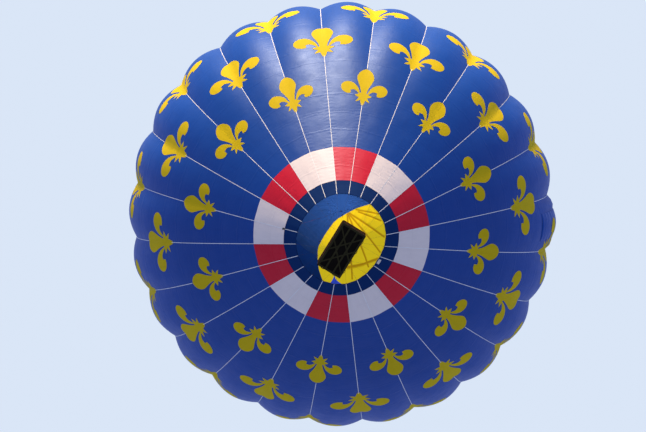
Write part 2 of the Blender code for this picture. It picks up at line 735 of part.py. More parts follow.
def skid_lattice():
    """Border, two runners and crossed braces under the floor."""
    half_x, half_y = BASKET_LENGTH / 2, BASKET_WIDTH / 2
    top = BASKET_BOTTOM - GAP
    low = top - LATTICE_HEIGHT
    bm = bmesh.new()
    sections = []
    for point, outward in rounded_rectangle(half_x, half_y, LATTICE_CORNER, 3):
        inner = point - outward * LATTICE_CORNER
        inner.x = max(-half_x + BORDER_WIDTH, min(half_x - BORDER_WIDTH, inner.x))
        inner.y = max(-half_y + BORDER_WIDTH, min(half_y - BORDER_WIDTH, inner.y))
        sections.append([Vector((p.x, p.y, z)) for p, z in ((inner, low), (point, low), (point, top), (inner, top))])
    loop_sweep(bm, sections)
    bmesh.ops.remove_doubles(bm, verts=bm.verts, dist=0.0001)
    lattice = finish_object("skid_lattice", bm, "wood", smooth=False)
    runners = bmesh.new()
    reach = half_x - SKID_END_INSET
    for sign in (-1, 1):
        middle = sign * RUNNER_OFFSET
        box(runners, (-reach, middle - RUNNER_WIDTH / 2, low + RUNNER_SETBACK[0]),
            (reach, middle + RUNNER_WIDTH / 2, top - RUNNER_SETBACK[1]))
    shape_with(lattice, helper("runner_shape", runners))
    for lean, setback in BRACE_SETBACKS:
        braces = bmesh.new()
        for back_x, front_x in BRACE_ENDS:
            start = Vector((lean * back_x, half_y - SKID_END_INSET, 0))
            end = Vector((lean * front_x, -half_y + SKID_END_INSET, 0))
            side = (end - start).cross(Vector((0, 0, 1))).normalized() * BRACE_WIDTH / 2
            plan = (start - side, end - side, end + side, start + side)
            levels = (low + BRACE_FOOT + setback, top - setback)
            loft(braces, [[p + Vector((0, 0, z)) for p in plan] for z in levels])
        shape_with(lattice, helper("brace_shape", braces))


def gas_cylinders():
    """Four standing fuel cylinders with a foot ring and a collar."""
    foot = BASKET_BOTTOM + FLOOR_THICKNESS + GAP
    for name, sign_x, sign_y in CORNERS:
        bm = bmesh.new()
        turned(bm, (sign_x * CYLINDER_X, sign_y * CYLINDER_Y, foot), CYLINDER_PROFILE, 16)
        finish_object("gas_cylinder_" + name, bm, "aluminium")


def build():
    """Make every piece."""
    clear_scene()
    envelope_panels()
    load_tapes()
    parachute()
    turning_vent()
    scoop()
    flying_wires()
    burner_frame()
    gimbal_ring()
    burner_base()
    burner_cans()
    blast_valves()
    uprights()
    corner_posts()
    basket_walls()
    skid_lattice()
    gas_cylinders()


build()
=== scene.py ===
"""Looks of a hot air balloon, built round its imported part. Laid out as an add-on, and run as a script."""

import math
import random

import bmesh
import bpy
import numpy as np
from bpy.props import FloatProperty, FloatVectorProperty, IntProperty, PointerProperty
from bpy.types import Operator, Panel, PropertyGroup
from mathutils import Matrix, Vector, noise


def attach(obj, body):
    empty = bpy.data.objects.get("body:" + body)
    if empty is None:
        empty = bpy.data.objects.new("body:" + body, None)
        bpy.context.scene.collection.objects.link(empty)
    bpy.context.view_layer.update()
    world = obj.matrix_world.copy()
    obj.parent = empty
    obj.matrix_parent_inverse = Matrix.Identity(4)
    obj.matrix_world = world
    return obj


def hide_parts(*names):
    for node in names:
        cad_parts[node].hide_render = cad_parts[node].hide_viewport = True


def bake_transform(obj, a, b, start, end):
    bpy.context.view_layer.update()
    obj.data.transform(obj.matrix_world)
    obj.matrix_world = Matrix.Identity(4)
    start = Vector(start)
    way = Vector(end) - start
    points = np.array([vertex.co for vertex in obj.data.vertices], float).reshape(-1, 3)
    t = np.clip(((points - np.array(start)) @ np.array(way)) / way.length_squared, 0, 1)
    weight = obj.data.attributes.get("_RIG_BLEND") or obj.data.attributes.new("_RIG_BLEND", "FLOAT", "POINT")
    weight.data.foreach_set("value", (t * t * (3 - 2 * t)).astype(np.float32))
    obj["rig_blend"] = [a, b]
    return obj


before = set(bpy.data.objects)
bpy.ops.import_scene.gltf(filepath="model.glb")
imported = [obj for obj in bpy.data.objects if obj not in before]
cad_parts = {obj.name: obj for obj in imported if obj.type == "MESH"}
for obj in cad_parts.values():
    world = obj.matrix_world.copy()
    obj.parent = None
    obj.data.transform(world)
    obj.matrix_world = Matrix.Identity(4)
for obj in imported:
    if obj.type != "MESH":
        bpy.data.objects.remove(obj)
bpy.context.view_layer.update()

bl_info = {
    "name": "Hot air balloon looks",
    "version": (1, 0, 0),
    "blender": (4, 5, 0),
    "location": "View3D > Sidebar > Balloon",
    "description": "Cloth, webbing, burners, wicker and stage for a hot air balloon",
    "category": "Add Mesh",
}

# Envelope, as in the solids, but with a bulge that is flatter at the mouth and fuller over the widest level
EQUATOR_RADIUS = 10.0
APEX_HALF_ANGLE = math.radians(41.76)
PRESSURE_HEAD = -0.4
GORES = 24
FIRST_TAPE = math.radians(-37.5)
GORE_ANGLE = 2 * math.pi / GORES
BULGE_ARCS = (2.99, 5.9, 8.0, 11.0, 15.0, 18.4, 24.0, 29.56)
BULGE_SHARES = (0.018, 0.020, 0.024, 0.062, 0.130, 0.154, 0.130, 0.050)
SHELL = 0.010
GAP = 0.0003
MOUTH_RADIUS = 2.0
BAND_INNER_RADIUS = 2.563
BAND_OUTER_RADIUS = 3.958
PARACHUTE_RADIUS = 3.0
VENT_RADIUS = 2.6
CROWN_RING_OUTER = 0.29
CROWN_RING_INNER = 0.20
CROWN_RING_FOOT = -0.005
CROWN_RING_SEAT = 0.024
CROWN_RING_TOP = 0.050
TAPE_THICKNESS = 0.004
HEM_RADIUS = 0.011
LINE_TAPE = 19
GATHER = Vector((0.0, 0.0, 1.9))

# Ways that the soft mouth is drawn in: waves round it, share of the radius, azimuth in degrees
MOUTH_DRAWN_IN = ((0, 0.019, 0.0), (1, 0.0135, 90.0), (2, 0.038, 97.0), (4, 0.013, 4.0))

# Blank label on the mouth's ring
LABEL_GORE = 8
LABEL_ACROSS = (0.24, 0.68)
LABEL_SPAN = (0.02, 0.18)

# Cloth: a pitch too long for any seam, threads of the ripstop, and levels where the painted sheen (a brighter
# tint of the cloth's colour) and the dullness change
NO_SEAM = 40.0
RIPSTOP_PER_METRE = 166.0
PAINTED_SHEEN_LEVELS = (-7.0, -3.2)
DULL_LEVELS = (0.6, 3.2)

# Net of points that the envelope's cloth is laid on
COLUMNS = 12
MOUTH_ROWS = 5
BAND_ROWS = 11
GORE_ROWS = 125
ROWS_IN_PANEL = 6

# Turning vent, on one gore
VENT_GORE = 6
VENT_SWELL = 0.10
VENT_SPAN = (14.9, 19.6)
FLAP_SPAN = (15.0, 18.37)
FLAP_ACROSS = (0.25, 0.79)
FLAP_RISE = 0.105
FLAP_EDGE = 0.012

# Heraldic flowers: half outline from the foot to the blunt end, (across, along), and where it is widest
FLOWER_HALF = (
    (0.000, 0.000), (0.030, 0.010), (0.060, 0.080), (0.082, 0.155), (0.150, 0.122), (0.224, 0.098),
    (0.178, 0.165), (0.125, 0.222), (0.190, 0.245), (0.262, 0.285), (0.190, 0.310), (0.143, 0.325),
    (0.175, 0.357), (0.216, 0.390), (0.255, 0.412), (0.294, 0.425), (0.345, 0.425), (0.395, 0.408),
    (0.385, 0.370), (0.389, 0.330), (0.450, 0.322), (0.505, 0.325), (0.552, 0.342), (0.605, 0.372),
    (0.646, 0.416), (0.668, 0.460), (0.671, 0.502), (0.662, 0.545), (0.634, 0.582), (0.585, 0.612),
    (0.520, 0.632), (0.452, 0.636), (0.380, 0.625), (0.293, 0.588), (0.235, 0.545), (0.182, 0.488),
    (0.145, 0.425), (0.112, 0.345), (0.080, 0.352), (0.094, 0.410), (0.120, 0.490), (0.152, 0.560),
    (0.185, 0.623), (0.212, 0.680), (0.228, 0.732), (0.226, 0.785), (0.208, 0.833), (0.178, 0.885),
    (0.144, 0.927), (0.090, 0.968), (0.040, 0.992),
)
FLOWER_WIDEST = 0.671
FLOWER_FIRST_ARC = 8.61
FLOWER_PITCH = 3.41
FLOWER_ROWS = 6
FLOWER_LIFT = 0.005

# Heights below the mouth, and the frame
FRAME_DROP = 2.90
BASKET_DROP = 0.95
BASKET_HEIGHT = 1.10
FRAME_HALF = 0.45
FRAME_TUBE = 0.016
FRAME_CORNER = 0.05
SOCKET_RADIUS = 0.036
SOCKET_HEIGHT = 0.10
FRAME_BLOCK = (0.396, 0.445, 0.022)
GIMBAL_HALF = 0.36
GIMBAL_TUBE = 0.013
GIMBAL_CORNER = 0.04
BURNER_BLOCK = (0.306, 0.358, 0.019)
FRAME_PIN = 0.010
FRAME_PIN_END = 0.430
CAN_RADIUS = 0.13
CAN_HEIGHT = 0.33
CAN_OFFSET = 0.15
BASE_TOP = 0.030
JET_RING = 0.062

# Flying wires
WIRE_RADIUS = 0.0035
WIRE_FINENESS = 0.6
WIRE_SPREAD = 0.030
WIRE_STANDOFF = 0.0065
SHACKLE_RADIUS = 0.042
SHACKLE_HEIGHT = 0.07
WIRE_FOOT_DEPTH = 0.02

# Scoop
SCOOP_HEM_HALF = 0.42
SCOOP_HEM_RISE = 0.15
SCOOP_SQUARENESS = 6.0
SCOOP_FRONT_HEIGHT = 0.27
SCOOP_OPEN_HALF = math.radians(97.5)
SCOOP_LAP = 0.0005
SCOOP_COLUMNS = 480
SCOOP_ROWS = 92

# Creases of the scoop, as lines in the mouth's plane: start, end, depth, half width; near them the cloth also
# gets painted shade
SCOOP_CREASES = (
    ((1.15, -0.43), (1.083, 1.528), 0.036, 0.054), ((1.15, -0.43), (0.411, 1.736), 0.028, 0.046),
    ((1.15, -0.43), (-0.402, 1.634), 0.028, 0.046), ((1.15, -0.43), (-1.231, 1.313), 0.028, 0.046),
    ((1.435, -0.137), (1.830, 0.829), 0.024, 0.046), ((1.406, 0.0), (1.607, 1.028), 0.024, 0.046),
    ((-0.890, 0.844), (-0.425, 1.363), 0.048, 0.090), ((-0.425, 1.363), (0.121, 1.827), 0.045, 0.080),
)

# Basket
BASKET_LENGTH = 2.10
BASKET_WIDTH = 1.12
WALL = 0.035
RIM_WIDTH = 0.090
RIM_HEIGHT = 0.080
RIM_CORNER = 0.06
FLOOR_THICKNESS = 0.020
POST_RADIUS = 0.050
POST_ABOVE_RIM = 0.03
UPRIGHT_RADIUS = 0.042
POLE_STRAPS = (0.12, 0.5, 0.88)
ROD_SWING = 0.0095
ROD_RADIUS = 0.0072
LACE_PITCH = 0.14
CYLINDER_X = 0.715
CYLINDER_Y = 0.355
CYLINDER_RADIUS = 0.15
CYLINDER_HEIGHT = 0.86

# name, side along X, side along Y
CORNERS = (("front_right", 1, -1), ("back_right", 1, 1), ("back_left", -1, 1), ("front_left", -1, -1))

# Camera of the photograph, lamps and floor
PHOTO_WIDTH = 646
FOCAL_PIXELS = 2729.0
CAMERA_TILT = math.radians(5.43)
CAMERA_TURN = math.radians(-31.7)
CAMERA_DISTANCE = 120.0
MOUTH_PIXEL = (18.5, -23.4)
SENSOR_WIDTH = 36.0
FLOOR_SIZE = 3000.0
SKY_TINT = (0.61, 0.69, 1.06)
KEY_DISTANCE = 90.0
KEY_TINT = (1.0, 0.70, 0.42)
KEY_SIZE = (40.0, 40.0)
KEY_HEIGHT = math.radians(10)
GLOSS_SIZE = (34.0, 32.0)
GLOSS_HEIGHT = math.radians(10.5)
# name, height, share of the power
INSIDE_LAMPS = (("inside light high", 4.6, 1.0), ("inside light low", -6.5, 0.75))

GORE_NODES = ("lower_gores", "middle_gores", "upper_gores", "shoulder_gores", "crown_gores", "vent_rim")


# The envelope's section

class Meridian:
    """Half section of the envelope: radius, height and slope along the arc from its virtual apex."""

    def __init__(self):
        step = 0.001
        radius, height, slope = 0.0, 0.0, APEX_HALF_ANGLE
        rows = [(radius, height, slope)]
        while radius >= 0.0:
            mid_slope = slope - radius * (height + PRESSURE_HEAD) * step / 2
            mid_radius = radius + math.sin(slope) * step / 2
            mid_height = height + math.cos(slope) * step / 2
            radius += math.sin(mid_slope) * step
            height += math.cos(mid_slope) * step
            slope -= mid_radius * (mid_height + PRESSURE_HEAD) * step
            rows.append((radius, height, slope))
        table = np.array(rows)
        self.widest = int(np.argmax(table[:, 0]))
        scale = EQUATOR_RADIUS / table[self.widest, 0]
        self.radius = table[:, 0] * scale
        self.height = (table[:, 1] - table[self.widest, 1]) * scale
        self.slope = table[:, 2]
        self.arc = np.arange(len(table)) * step * scale

    def below(self, radius):
        """Arc where the lower half has this radius."""
        return float(np.interp(radius, self.radius[:self.widest], self.arc[:self.widest]))

    def above(self, radius):
        """Arc where the upper half has this radius."""
        upper = slice(None, self.widest, -1)
        return float(np.interp(radius, self.radius[upper], self.arc[upper]))

    def at(self, arc):
        """Radius, height and slope at an arc."""
        columns = (self.radius, self.height, self.slope)
        return tuple(float(np.interp(arc, self.arc, column)) for column in columns)


MERIDIAN = Meridian()
MOUTH_ARC = MERIDIAN.below(MOUTH_RADIUS)
RING_ARC = MERIDIAN.below(BAND_INNER_RADIUS)
BAND_ARC = MERIDIAN.below(BAND_OUTER_RADIUS)
VENT_ARC = MERIDIAN.above(VENT_RADIUS)
CROWN_ARC = MERIDIAN.above((CROWN_RING_OUTER + CROWN_RING_INNER) / 2)
MOUTH_Z = MERIDIAN.at(MOUTH_ARC)[1]
CROWN_Z = MERIDIAN.at(CROWN_ARC)[1]
FRAME_Z = MOUTH_Z - FRAME_DROP
BASKET_TOP = FRAME_Z - BASKET_DROP
BASKET_BOTTOM = BASKET_TOP - BASKET_HEIGHT
PANEL_PITCH = (VENT_ARC - BAND_ARC) / GORE_ROWS * ROWS_IN_PANEL
RING_ROW = MOUTH_ROWS
BAND_ROW = MOUTH_ROWS + BAND_ROWS
VENT_ROW = BAND_ROW + GORE_ROWS


# Settings

def colour_setting(name, description, value):
    """Colour property with linear red, green and blue."""
    return FloatVectorProperty(name=name, description=description, default=value, min=0.0, max=1.0,
                               subtype="COLOR")


def length_setting(name, description, value, low, high):
    """Length in metres."""
    return FloatProperty(name=name, description=description, default=value, min=low, max=high, unit="LENGTH")


def light_setting(name, description, value, high, subtype="NONE"):
    """Strength or power of a light."""
    return FloatProperty(name=name, description=description, default=value, min=0.0, max=high,
                         subtype=subtype)


class BalloonSizes(PropertyGroup):
    """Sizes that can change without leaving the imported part."""
    cloth: length_setting("Cloth", "Thickness of the envelope's cloth", 0.004, 0.001, 0.01)
    tape: length_setting("Tape", "Width of a load tape", 0.026, 0.02, 0.08)
    flower_length: length_setting("Flower length", "Length of a flower along its tape", 2.52, 1.0, 3.0)
    flower_width: FloatProperty(name="Flower width", description="Width of a flower in widths of a gore",
                                default=1.25, min=0.5, max=1.8, subtype="FACTOR")
    stake_pitch: length_setting("Stake pitch", "Distance between the wicker's upright stakes",
                                0.042, 0.03, 0.08)
    rod_pitch: length_setting("Rod pitch", "Height of one woven row of the wicker", 0.0165, 0.012, 0.03)
    coil_turns: IntProperty(name="Coil turns", description="Turns of tube round each burner can",
                            default=12, min=4, max=14)


class BalloonColours(PropertyGroup):
    """Colours of the finishes."""
    blue: colour_setting("Blue", "Outside of the blue gores", (0.0015, 0.049, 0.292))
    inner_blue: colour_setting("Inner blue", "Inside of the gores", (0.016, 0.070, 0.330))
    valve: colour_setting("Valve blue", "Parachute valve", (0.036, 0.096, 0.330))
    navy: colour_setting("Navy", "Ring of cloth at the mouth", (0.004, 0.028, 0.130))
    red: colour_setting("Red", "Red blocks of the band", (0.540, 0.010, 0.034))
    white: colour_setting("White", "White blocks of the band", (0.720, 0.705, 0.715))
    yellow: colour_setting("Yellow", "Flowers", (0.530, 0.430, 0.010))
    scoop: colour_setting("Scoop", "Yellow of the scoop", (0.445, 0.338, 0.008))
    gusset: colour_setting("Gusset", "Bright blue gusset on the scoop", (0.010, 0.080, 0.700))
    webbing: colour_setting("Webbing", "Load tapes", (0.720, 0.790, 0.840))
    wicker: colour_setting("Wicker", "Willow rods", (0.036, 0.020, 0.010))
    leather: colour_setting("Leather", "Rim and corner posts", (0.014, 0.009, 0.007))
    cover: colour_setting("Cover", "Padded covers of the poles", (0.018, 0.022, 0.035))
    wood: colour_setting("Wood", "Skids under the basket", (0.020, 0.020, 0.010))
    deck: colour_setting("Deck", "Floor of the basket", (0.0035, 0.0032, 0.003))
    rope: colour_setting("Rope", "Handles and lines", (0.045, 0.032, 0.020))
    floor: colour_setting("Floor", "Plain pale floor under the camera", (0.620, 0.620, 0.600))


class BalloonStage(PropertyGroup):
    """Light and background."""
    sky: colour_setting("Background", "Pale background that the camera sees", (0.700, 0.790, 0.930))
    sky_light: light_setting("Sky light", "Strength of the light from all round", 0.82, 5.0)
    key: light_setting("Key light", "Warm light of a large lamp on the envelope, in W/m2", 7.4, 40.0)
    gloss: light_setting("Gloss light", "White light that only the sheen shows, in W/m2", 8.0, 40.0)
    key_turn: FloatProperty(name="Key turn", description="Azimuth of both lamps", default=math.radians(-38.5),
                            min=-math.pi, max=math.pi, subtype="ANGLE")
    inside: light_setting("Inside light", "Power of the lamp under the parachute valve", 195.0, 60000.0,
                          "POWER")


class BalloonSettings(PropertyGroup):
    """All settings of the balloon."""
    sizes: PointerProperty(type=BalloonSizes, name="Sizes", description="Sizes of the pieces")
    colours: PointerProperty(type=BalloonColours, name="Colours", description="Colours of the finishes")
    stage: PointerProperty(type=BalloonStage, name="Stage", description="Light and background")


def settings():
    """The scene's own settings."""
    return bpy.context.scene.balloon_settings


# Shader nodes

class Nodes:
    """A node tree, with short ways to lay nodes in it."""

    def __init__(self, tree):
        self.tree = tree

    def join(self, value, socket):
        """Link a value to a socket, or fill the socket with it; a colour may come without its alpha."""
        if isinstance(value, bpy.types.NodeSocket):
            self.tree.links.new(value, socket)
        else:
            socket.default_value = (*value, 1.0) if socket.type == "RGBA" and len(value) == 3 else value

    def add(self, kind, inputs=None, **options):
        """Node with its options set and its inputs linked or filled."""
        node = self.tree.nodes.new(kind)
        for key, value in options.items():
            setattr(node, key, value)
        for key, value in (inputs or {}).items():
            self.join(value, node.inputs[key])
        return node

    def math(self, operation, first, second=0.0, clamp=False):
        """Result of a Math node."""
        node = self.add("ShaderNodeMath", {0: first, 1: second}, operation=operation, use_clamp=clamp)
        return node.outputs[0]

    def times(self, first, second):
        """Product of two values."""
        return self.math("MULTIPLY", first, second)

    def total(self, first, *others):
        """Sum of values."""
        for value in others:
            first = self.math("ADD", first, value)
        return first

    def spread(self, value, low, high, to_low=0.0, to_high=1.0):
        """Value moved from one range to another and held there."""
        return self.add("ShaderNodeMapRange", {"Value": value, "From Min": low, "From Max": high,
                                               "To Min": to_low, "To Max": to_high}).outputs[0]

    def mix(self, share, first, second, how="MIX"):
        """Mix of two colours."""
        node = self.add("ShaderNodeMix", {0: share, 6: first, 7: second}, data_type="RGBA", blend_type=how)
        return node.outputs[2]

    def cloudy(self, vector, scale, detail=3.0, roughness=0.5):
        """Factor of a noise texture."""
        return self.add("ShaderNodeTexNoise", {"Vector": vector, "Scale": scale, "Detail": detail,
                                               "Roughness": roughness}).outputs["Fac"]

    def stretched(self, vector, scale):
        """Vector scaled by axis."""
        return self.add("ShaderNodeMapping", {"Vector": vector, "Scale": scale}).outputs[0]

    def part(self, vector, axis):
        """One of a vector's three numbers."""
        return self.add("ShaderNodeSeparateXYZ", {0: vector}).outputs[axis]

    def attribute(self, name):
        """A piece's own attribute."""
        return self.add("ShaderNodeAttribute", attribute_name=name).outputs["Fac"]

    def group(self, name, **values):
        """Outputs of a shared group, placed with its own values."""
        inputs = {key.replace("_", " "): value for key, value in values.items()}
        return self.add("ShaderNodeGroup", inputs, node_tree=shared_group(name)).outputs


def fill_cloth(nodes, given):
    """Sewn cloth: a wandering tone, seams, puckers by the tapes and a ripstop weave; duller on top, with
    painted sheen above a level.
    """
    cut, spot, colour = given["Cut"], given["Place"], given["Colour"]
    pitch = given["Seam pitch"]
    panel = nodes.math("DIVIDE", nodes.math("SUBTRACT", nodes.part(cut, 1), given["First seam"]), pitch)
    to_seam = nodes.times(nodes.math("PINGPONG", panel, 0.5), pitch)
    seam = nodes.spread(to_seam, 0.003, 0.014, 1.0, 0.0)
    near_seam = nodes.spread(to_seam, 0.0, 0.16, 1.0, 0.0)
    near_tape = nodes.spread(given["Tape reach"], 0.0, 0.30, 1.0, 0.0)
    middle = nodes.cloudy(spot, 2.2, 3.0, 0.6)
    grime = nodes.cloudy(nodes.stretched(cut, (5.0, 0.8, 1.0)), 1.0, 4.0, 0.6)
    dark = nodes.mix(1.0, colour, (0.62, 0.62, 0.66), "MULTIPLY")
    toned = nodes.mix(nodes.times(nodes.cloudy(spot, 0.35, 4.0, 0.55), 0.30), colour, dark)
    level = nodes.part(spot, 2)
    # Painted sheen: above these levels the colour is multiplied by a brighter tint, standing in for sheen and
    # light through the cloth
    toned = nodes.mix(nodes.spread(level, *PAINTED_SHEEN_LEVELS), toned,
                      nodes.mix(1.0, toned, given["Tint when high"], "MULTIPLY"))
    shade = nodes.math("ADD", nodes.times(seam, 0.25), nodes.times(nodes.spread(grime, 0.45, 0.8), 0.22),
                       clamp=True)
    folds = nodes.add("ShaderNodeTexWave", {"Vector": cut, "Scale": 1.5, "Distortion": 5.0, "Detail": 2.0,
                                            "Detail Scale": 1.2}, bands_direction="Y").outputs["Fac"]
    pucker = nodes.times(folds, nodes.math("MAXIMUM", near_tape, near_seam))
    threads = [nodes.math("PINGPONG", nodes.times(nodes.part(cut, axis), RIPSTOP_PER_METRE), 0.5)
               for axis in (0, 1)]
    ripstop = nodes.spread(nodes.math("MINIMUM", *threads), 0.0, 0.14, 1.0, 0.0)
    return {"Colour": nodes.mix(shade, toned, dark),
            "Roughness": nodes.total(nodes.spread(middle, 0.25, 0.75, 0.40, 0.50),
                                     nodes.spread(level, *DULL_LEVELS, 0.0, 0.50)),
            "Height": nodes.total(nodes.times(pucker, 0.006), nodes.times(seam, 0.002),
                                  nodes.times(middle, 0.014), nodes.times(ripstop, 0.0002))}


def fill_weave(nodes, given):
    """Plain weave: two sets of threads that pass over each other."""
    turn = nodes.times(given["Threads"], math.pi)
    warp, weft = [nodes.math("SINE", nodes.times(nodes.part(given["Cut"], axis), turn)) for axis in (0, 1)]
    return {"Height": nodes.math("ABSOLUTE", nodes.total(warp, weft))}


def fill_wear(nodes, given):
    """Mask of scratches and rubbed patches."""
    patches = nodes.cloudy(given["Place"], given["Scale"], 5.0, 0.65)
    lines = nodes.cloudy(nodes.stretched(given["Place"], (1.0, 1.0, 14.0)), given["Scale"], 3.0, 0.6)
    mask = nodes.times(nodes.spread(patches, 0.42, 0.72), nodes.spread(lines, 0.38, 0.70))
    return {"Mask": mask, "Height": lines}


def fill_hide(nodes, given):
    """Leather grain: small cells with creases between them."""
    cells = nodes.add("ShaderNodeTexVoronoi", {"Vector": given["Place"], "Scale": given["Scale"]},
                      feature="DISTANCE_TO_EDGE").outputs["Distance"]
    folds = nodes.cloudy(given["Place"], 14.0, 4.0, 0.6)
    height = nodes.total(nodes.times(nodes.spread(cells, 0.0, 0.12), 0.35), folds)
    return {"Height": height, "Mask": nodes.spread(folds, 0.40, 0.70)}


def fill_fibre(nodes, given):
    """Long fibres, as in wood and willow."""
    fibres = nodes.cloudy(nodes.stretched(given["Place"], (1.0, 22.0, 22.0)), given["Scale"], 5.0, 0.62)
    knots = nodes.cloudy(given["Place"], 1.7, 2.0, 0.5)
    mask = nodes.times(nodes.spread(fibres, 0.3, 0.75), nodes.spread(knots, 0.2, 0.8, 0.5, 1.0))
    return {"Height": fibres, "Mask": mask}


# Each group's function, and its inputs with their values; None is a vector, which has to be linked
GROUPS = {
    "sewn cloth": (fill_cloth, {"Cut": None, "Place": None, "Colour": (1.0, 1.0, 1.0, 1.0), "Tape reach": 1.0,
                                "First seam": BAND_ARC, "Seam pitch": PANEL_PITCH,
                                "Tint when high": (1.0, 1.25, 1.25, 1.0)}),
    "plain weave": (fill_weave, {"Cut": None, "Threads": 400.0}),
    "rubbed wear": (fill_wear, {"Place": None, "Scale": 8.0}),
    "hide grain": (fill_hide, {"Place": None, "Scale": 260.0}),
    "long fibres": (fill_fibre, {"Place": None, "Scale": 9.0}),
}


def shared_group(name):
    """Node group that several finishes use, built once."""
    made = bpy.data.node_groups.get(name)
    if made:
        return made
    made = bpy.data.node_groups.new(name, "ShaderNodeTree")
    fill, inputs = GROUPS[name]
    for label, value in inputs.items():
        kind = "Vector" if value is None else "Float" if isinstance(value, float) else "Color"
        socket = made.interface.new_socket(name=label, in_out="INPUT", socket_type="NodeSocket" + kind)
        if value is not None:
            socket.default_value = value
    nodes = Nodes(made)
    results = fill(nodes, nodes.add("NodeGroupInput").outputs)
    for label in results:
        kind = "NodeSocketColor" if label == "Colour" else "NodeSocketFloat"
        made.interface.new_socket(name=label, in_out="OUTPUT", socket_type=kind)
    nodes.add("NodeGroupOutput", results)
    return made


# Finishes

def toned(colour, share):
    """Colour made darker or paler."""
    return tuple(min(1.0, share * part) for part in colour)


class Finish(Nodes):
    """A material while its nodes are laid, started with the shader's own values."""

    def __init__(self, name, **values):
        self.material = bpy.data.materials.new(name)
        self.material.use_nodes = True
        super().__init__(self.material.node_tree)
        self.shader = self.tree.nodes["Principled BSDF"].inputs
        for key, value in values.items():
            self.shader[key.replace("_", " ")].default_value = value
        where = self.add("ShaderNodeTexCoord").outputs
        self.cut, self.spot = where["UV"], where["Object"]

    def done(self, colour, roughness, height=None, distance=1.0, strength=1.0):
        """The material with its colour, its roughness and a bump from a height."""
        self.join(colour, self.shader["Base Color"])
        self.join(roughness, self.shader["Roughness"])
        if height is not None:
            bump = self.add("ShaderNodeBump", {"Height": height, "Distance": distance, "Strength": strength})
            self.join(bump.outputs[0], self.shader["Normal"])
        return self.material


def cloth_finish(name, colour, seam_pitch=PANEL_PITCH, specular=0.13, rough=0.0, tint=(1.0, 1.25, 1.25)):
    """Coated nylon of the envelope; the tint is painted sheen that brightens it above a level."""
    look = Finish(name, Specular_IOR_Level=specular)
    cloth = look.group("sewn cloth", Cut=look.cut, Place=look.spot, Colour=colour, Seam_pitch=seam_pitch,
                       Tape_reach=look.attribute("tape_reach"), Tint_when_high=tint)
    return look.done(cloth["Colour"], look.total(cloth["Roughness"], rough), cloth["Height"], 1.0, 0.7)


def scoop_finish(name, colour):
    """Yellow cloth that glows as painted light through the cloth, with painted shade darkening it near its
    creases, read from the piece's own attribute.
    """
    # Painted light: the cloth glows in its own colour, standing in for light shining through it
    look = Finish(name, Specular_IOR_Level=0.0, Emission_Strength=0.9)
    cloth = look.group("sewn cloth", Cut=look.cut, Place=look.spot, Colour=colour, Seam_pitch=NO_SEAM)
    # Painted shade: near the crease lines the colour is darkened towards orange-brown
    mask = look.spread(look.attribute("crease"), 0.25, 0.90, 0.0, 0.72)
    crease_shaded = look.mix(mask, cloth["Colour"], (0.165, 0.062, 0.001))
    # The glow takes the same colour, with the painted crease shade
    look.join(crease_shaded, look.shader["Emission Color"])
    return look.done(crease_shaded, cloth["Roughness"], cloth["Height"], 1.0, 0.7)


def webbing_finish(name, colour, threads=420.0):
    """Woven polyester strap."""
    look = Finish(name, Specular_IOR_Level=0.2)
    weave = look.group("plain weave", Cut=look.cut, Threads=threads)["Height"]
    wear = look.group("rubbed wear", Place=look.spot, Scale=3.0)["Mask"]
    return look.done(look.mix(wear, colour, toned(colour, 0.55)), look.spread(weave, 0.0, 2.0, 0.75, 0.5),
                     weave, 0.0008)


def metal_finish(name, colour, worn, rough=(0.28, 0.5), metallic=1.0, scale=9.0, specular=0.5):
    """Metal with scratches and rubbed patches."""
    look = Finish(name, Metallic=metallic, Specular_IOR_Level=specular)
    wear = look.group("rubbed wear", Place=look.spot, Scale=scale)
    tone = look.cloudy(look.spot, 30.0, 4.0, 0.6)
    soiled = look.mix(look.times(tone, 0.35), look.mix(wear["Mask"], colour, worn), (0.05, 0.045, 0.04))
    return look.done(soiled, look.spread(tone, 0.3, 0.7, *rough), wear["Height"], 0.0012, 0.5)


def coil_finish(name):
    """Stainless tube with heat tints from straw to blue towards the top of the can."""
    look = Finish(name, Metallic=1.0)
    level = look.spread(look.part(look.spot, 2), FRAME_Z + BASE_TOP, FRAME_Z + BASE_TOP + CAN_HEIGHT)
    mottled = look.total(level, look.times(look.cloudy(look.spot, 22.0), 0.35))
    ramp = look.add("ShaderNodeValToRGB", {0: look.math("SUBTRACT", mottled, 0.17)})
    tints = ramp.color_ramp.elements
    tints[0].color = (0.55, 0.54, 0.52, 1.0)
    tints[1].color = (0.20, 0.22, 0.34, 1.0)
    tints.new(0.45).color = (0.58, 0.47, 0.28, 1.0)
    tints.new(0.72).color = (0.36, 0.22, 0.22, 1.0)
    wear = look.group("rubbed wear", Place=look.spot, Scale=16.0)["Height"]
    return look.done(ramp.outputs["Color"], look.spread(wear, 0.3, 0.7, 0.25, 0.42), wear, 0.0006, 0.5)


def leather_finish(name, colour, worn):
    """Hide with a pebble grain, paler where hands rub it."""
    look = Finish(name, Specular_IOR_Level=0.02)
    hide = look.group("hide grain", Place=look.spot, Scale=240.0)
    return look.done(look.mix(hide["Mask"], colour, worn), look.spread(hide["Height"], 0.2, 1.1, 0.80, 0.60),
                     hide["Height"], 0.0016, 0.8)


def wood_finish(name, colour, pale, plank=0.0):
    """Timber along X, with planks when a width is given."""
    look = Finish(name, Specular_IOR_Level=0.03)
    fibre = look.group("long fibres", Place=look.spot, Scale=7.0)
    grained = look.mix(fibre["Mask"], colour, pale)
    if plank:
        joint = look.math("PINGPONG", look.math("DIVIDE", look.part(look.spot, 1), plank), 0.5)
        grained = look.mix(look.spread(joint, 0.0, 0.03, 0.85, 0.0), grained, (0.004, 0.004, 0.003))
    return look.done(grained, look.spread(fibre["Height"], 0.3, 0.7, 0.82, 0.6), fibre["Height"], 0.002, 0.7)


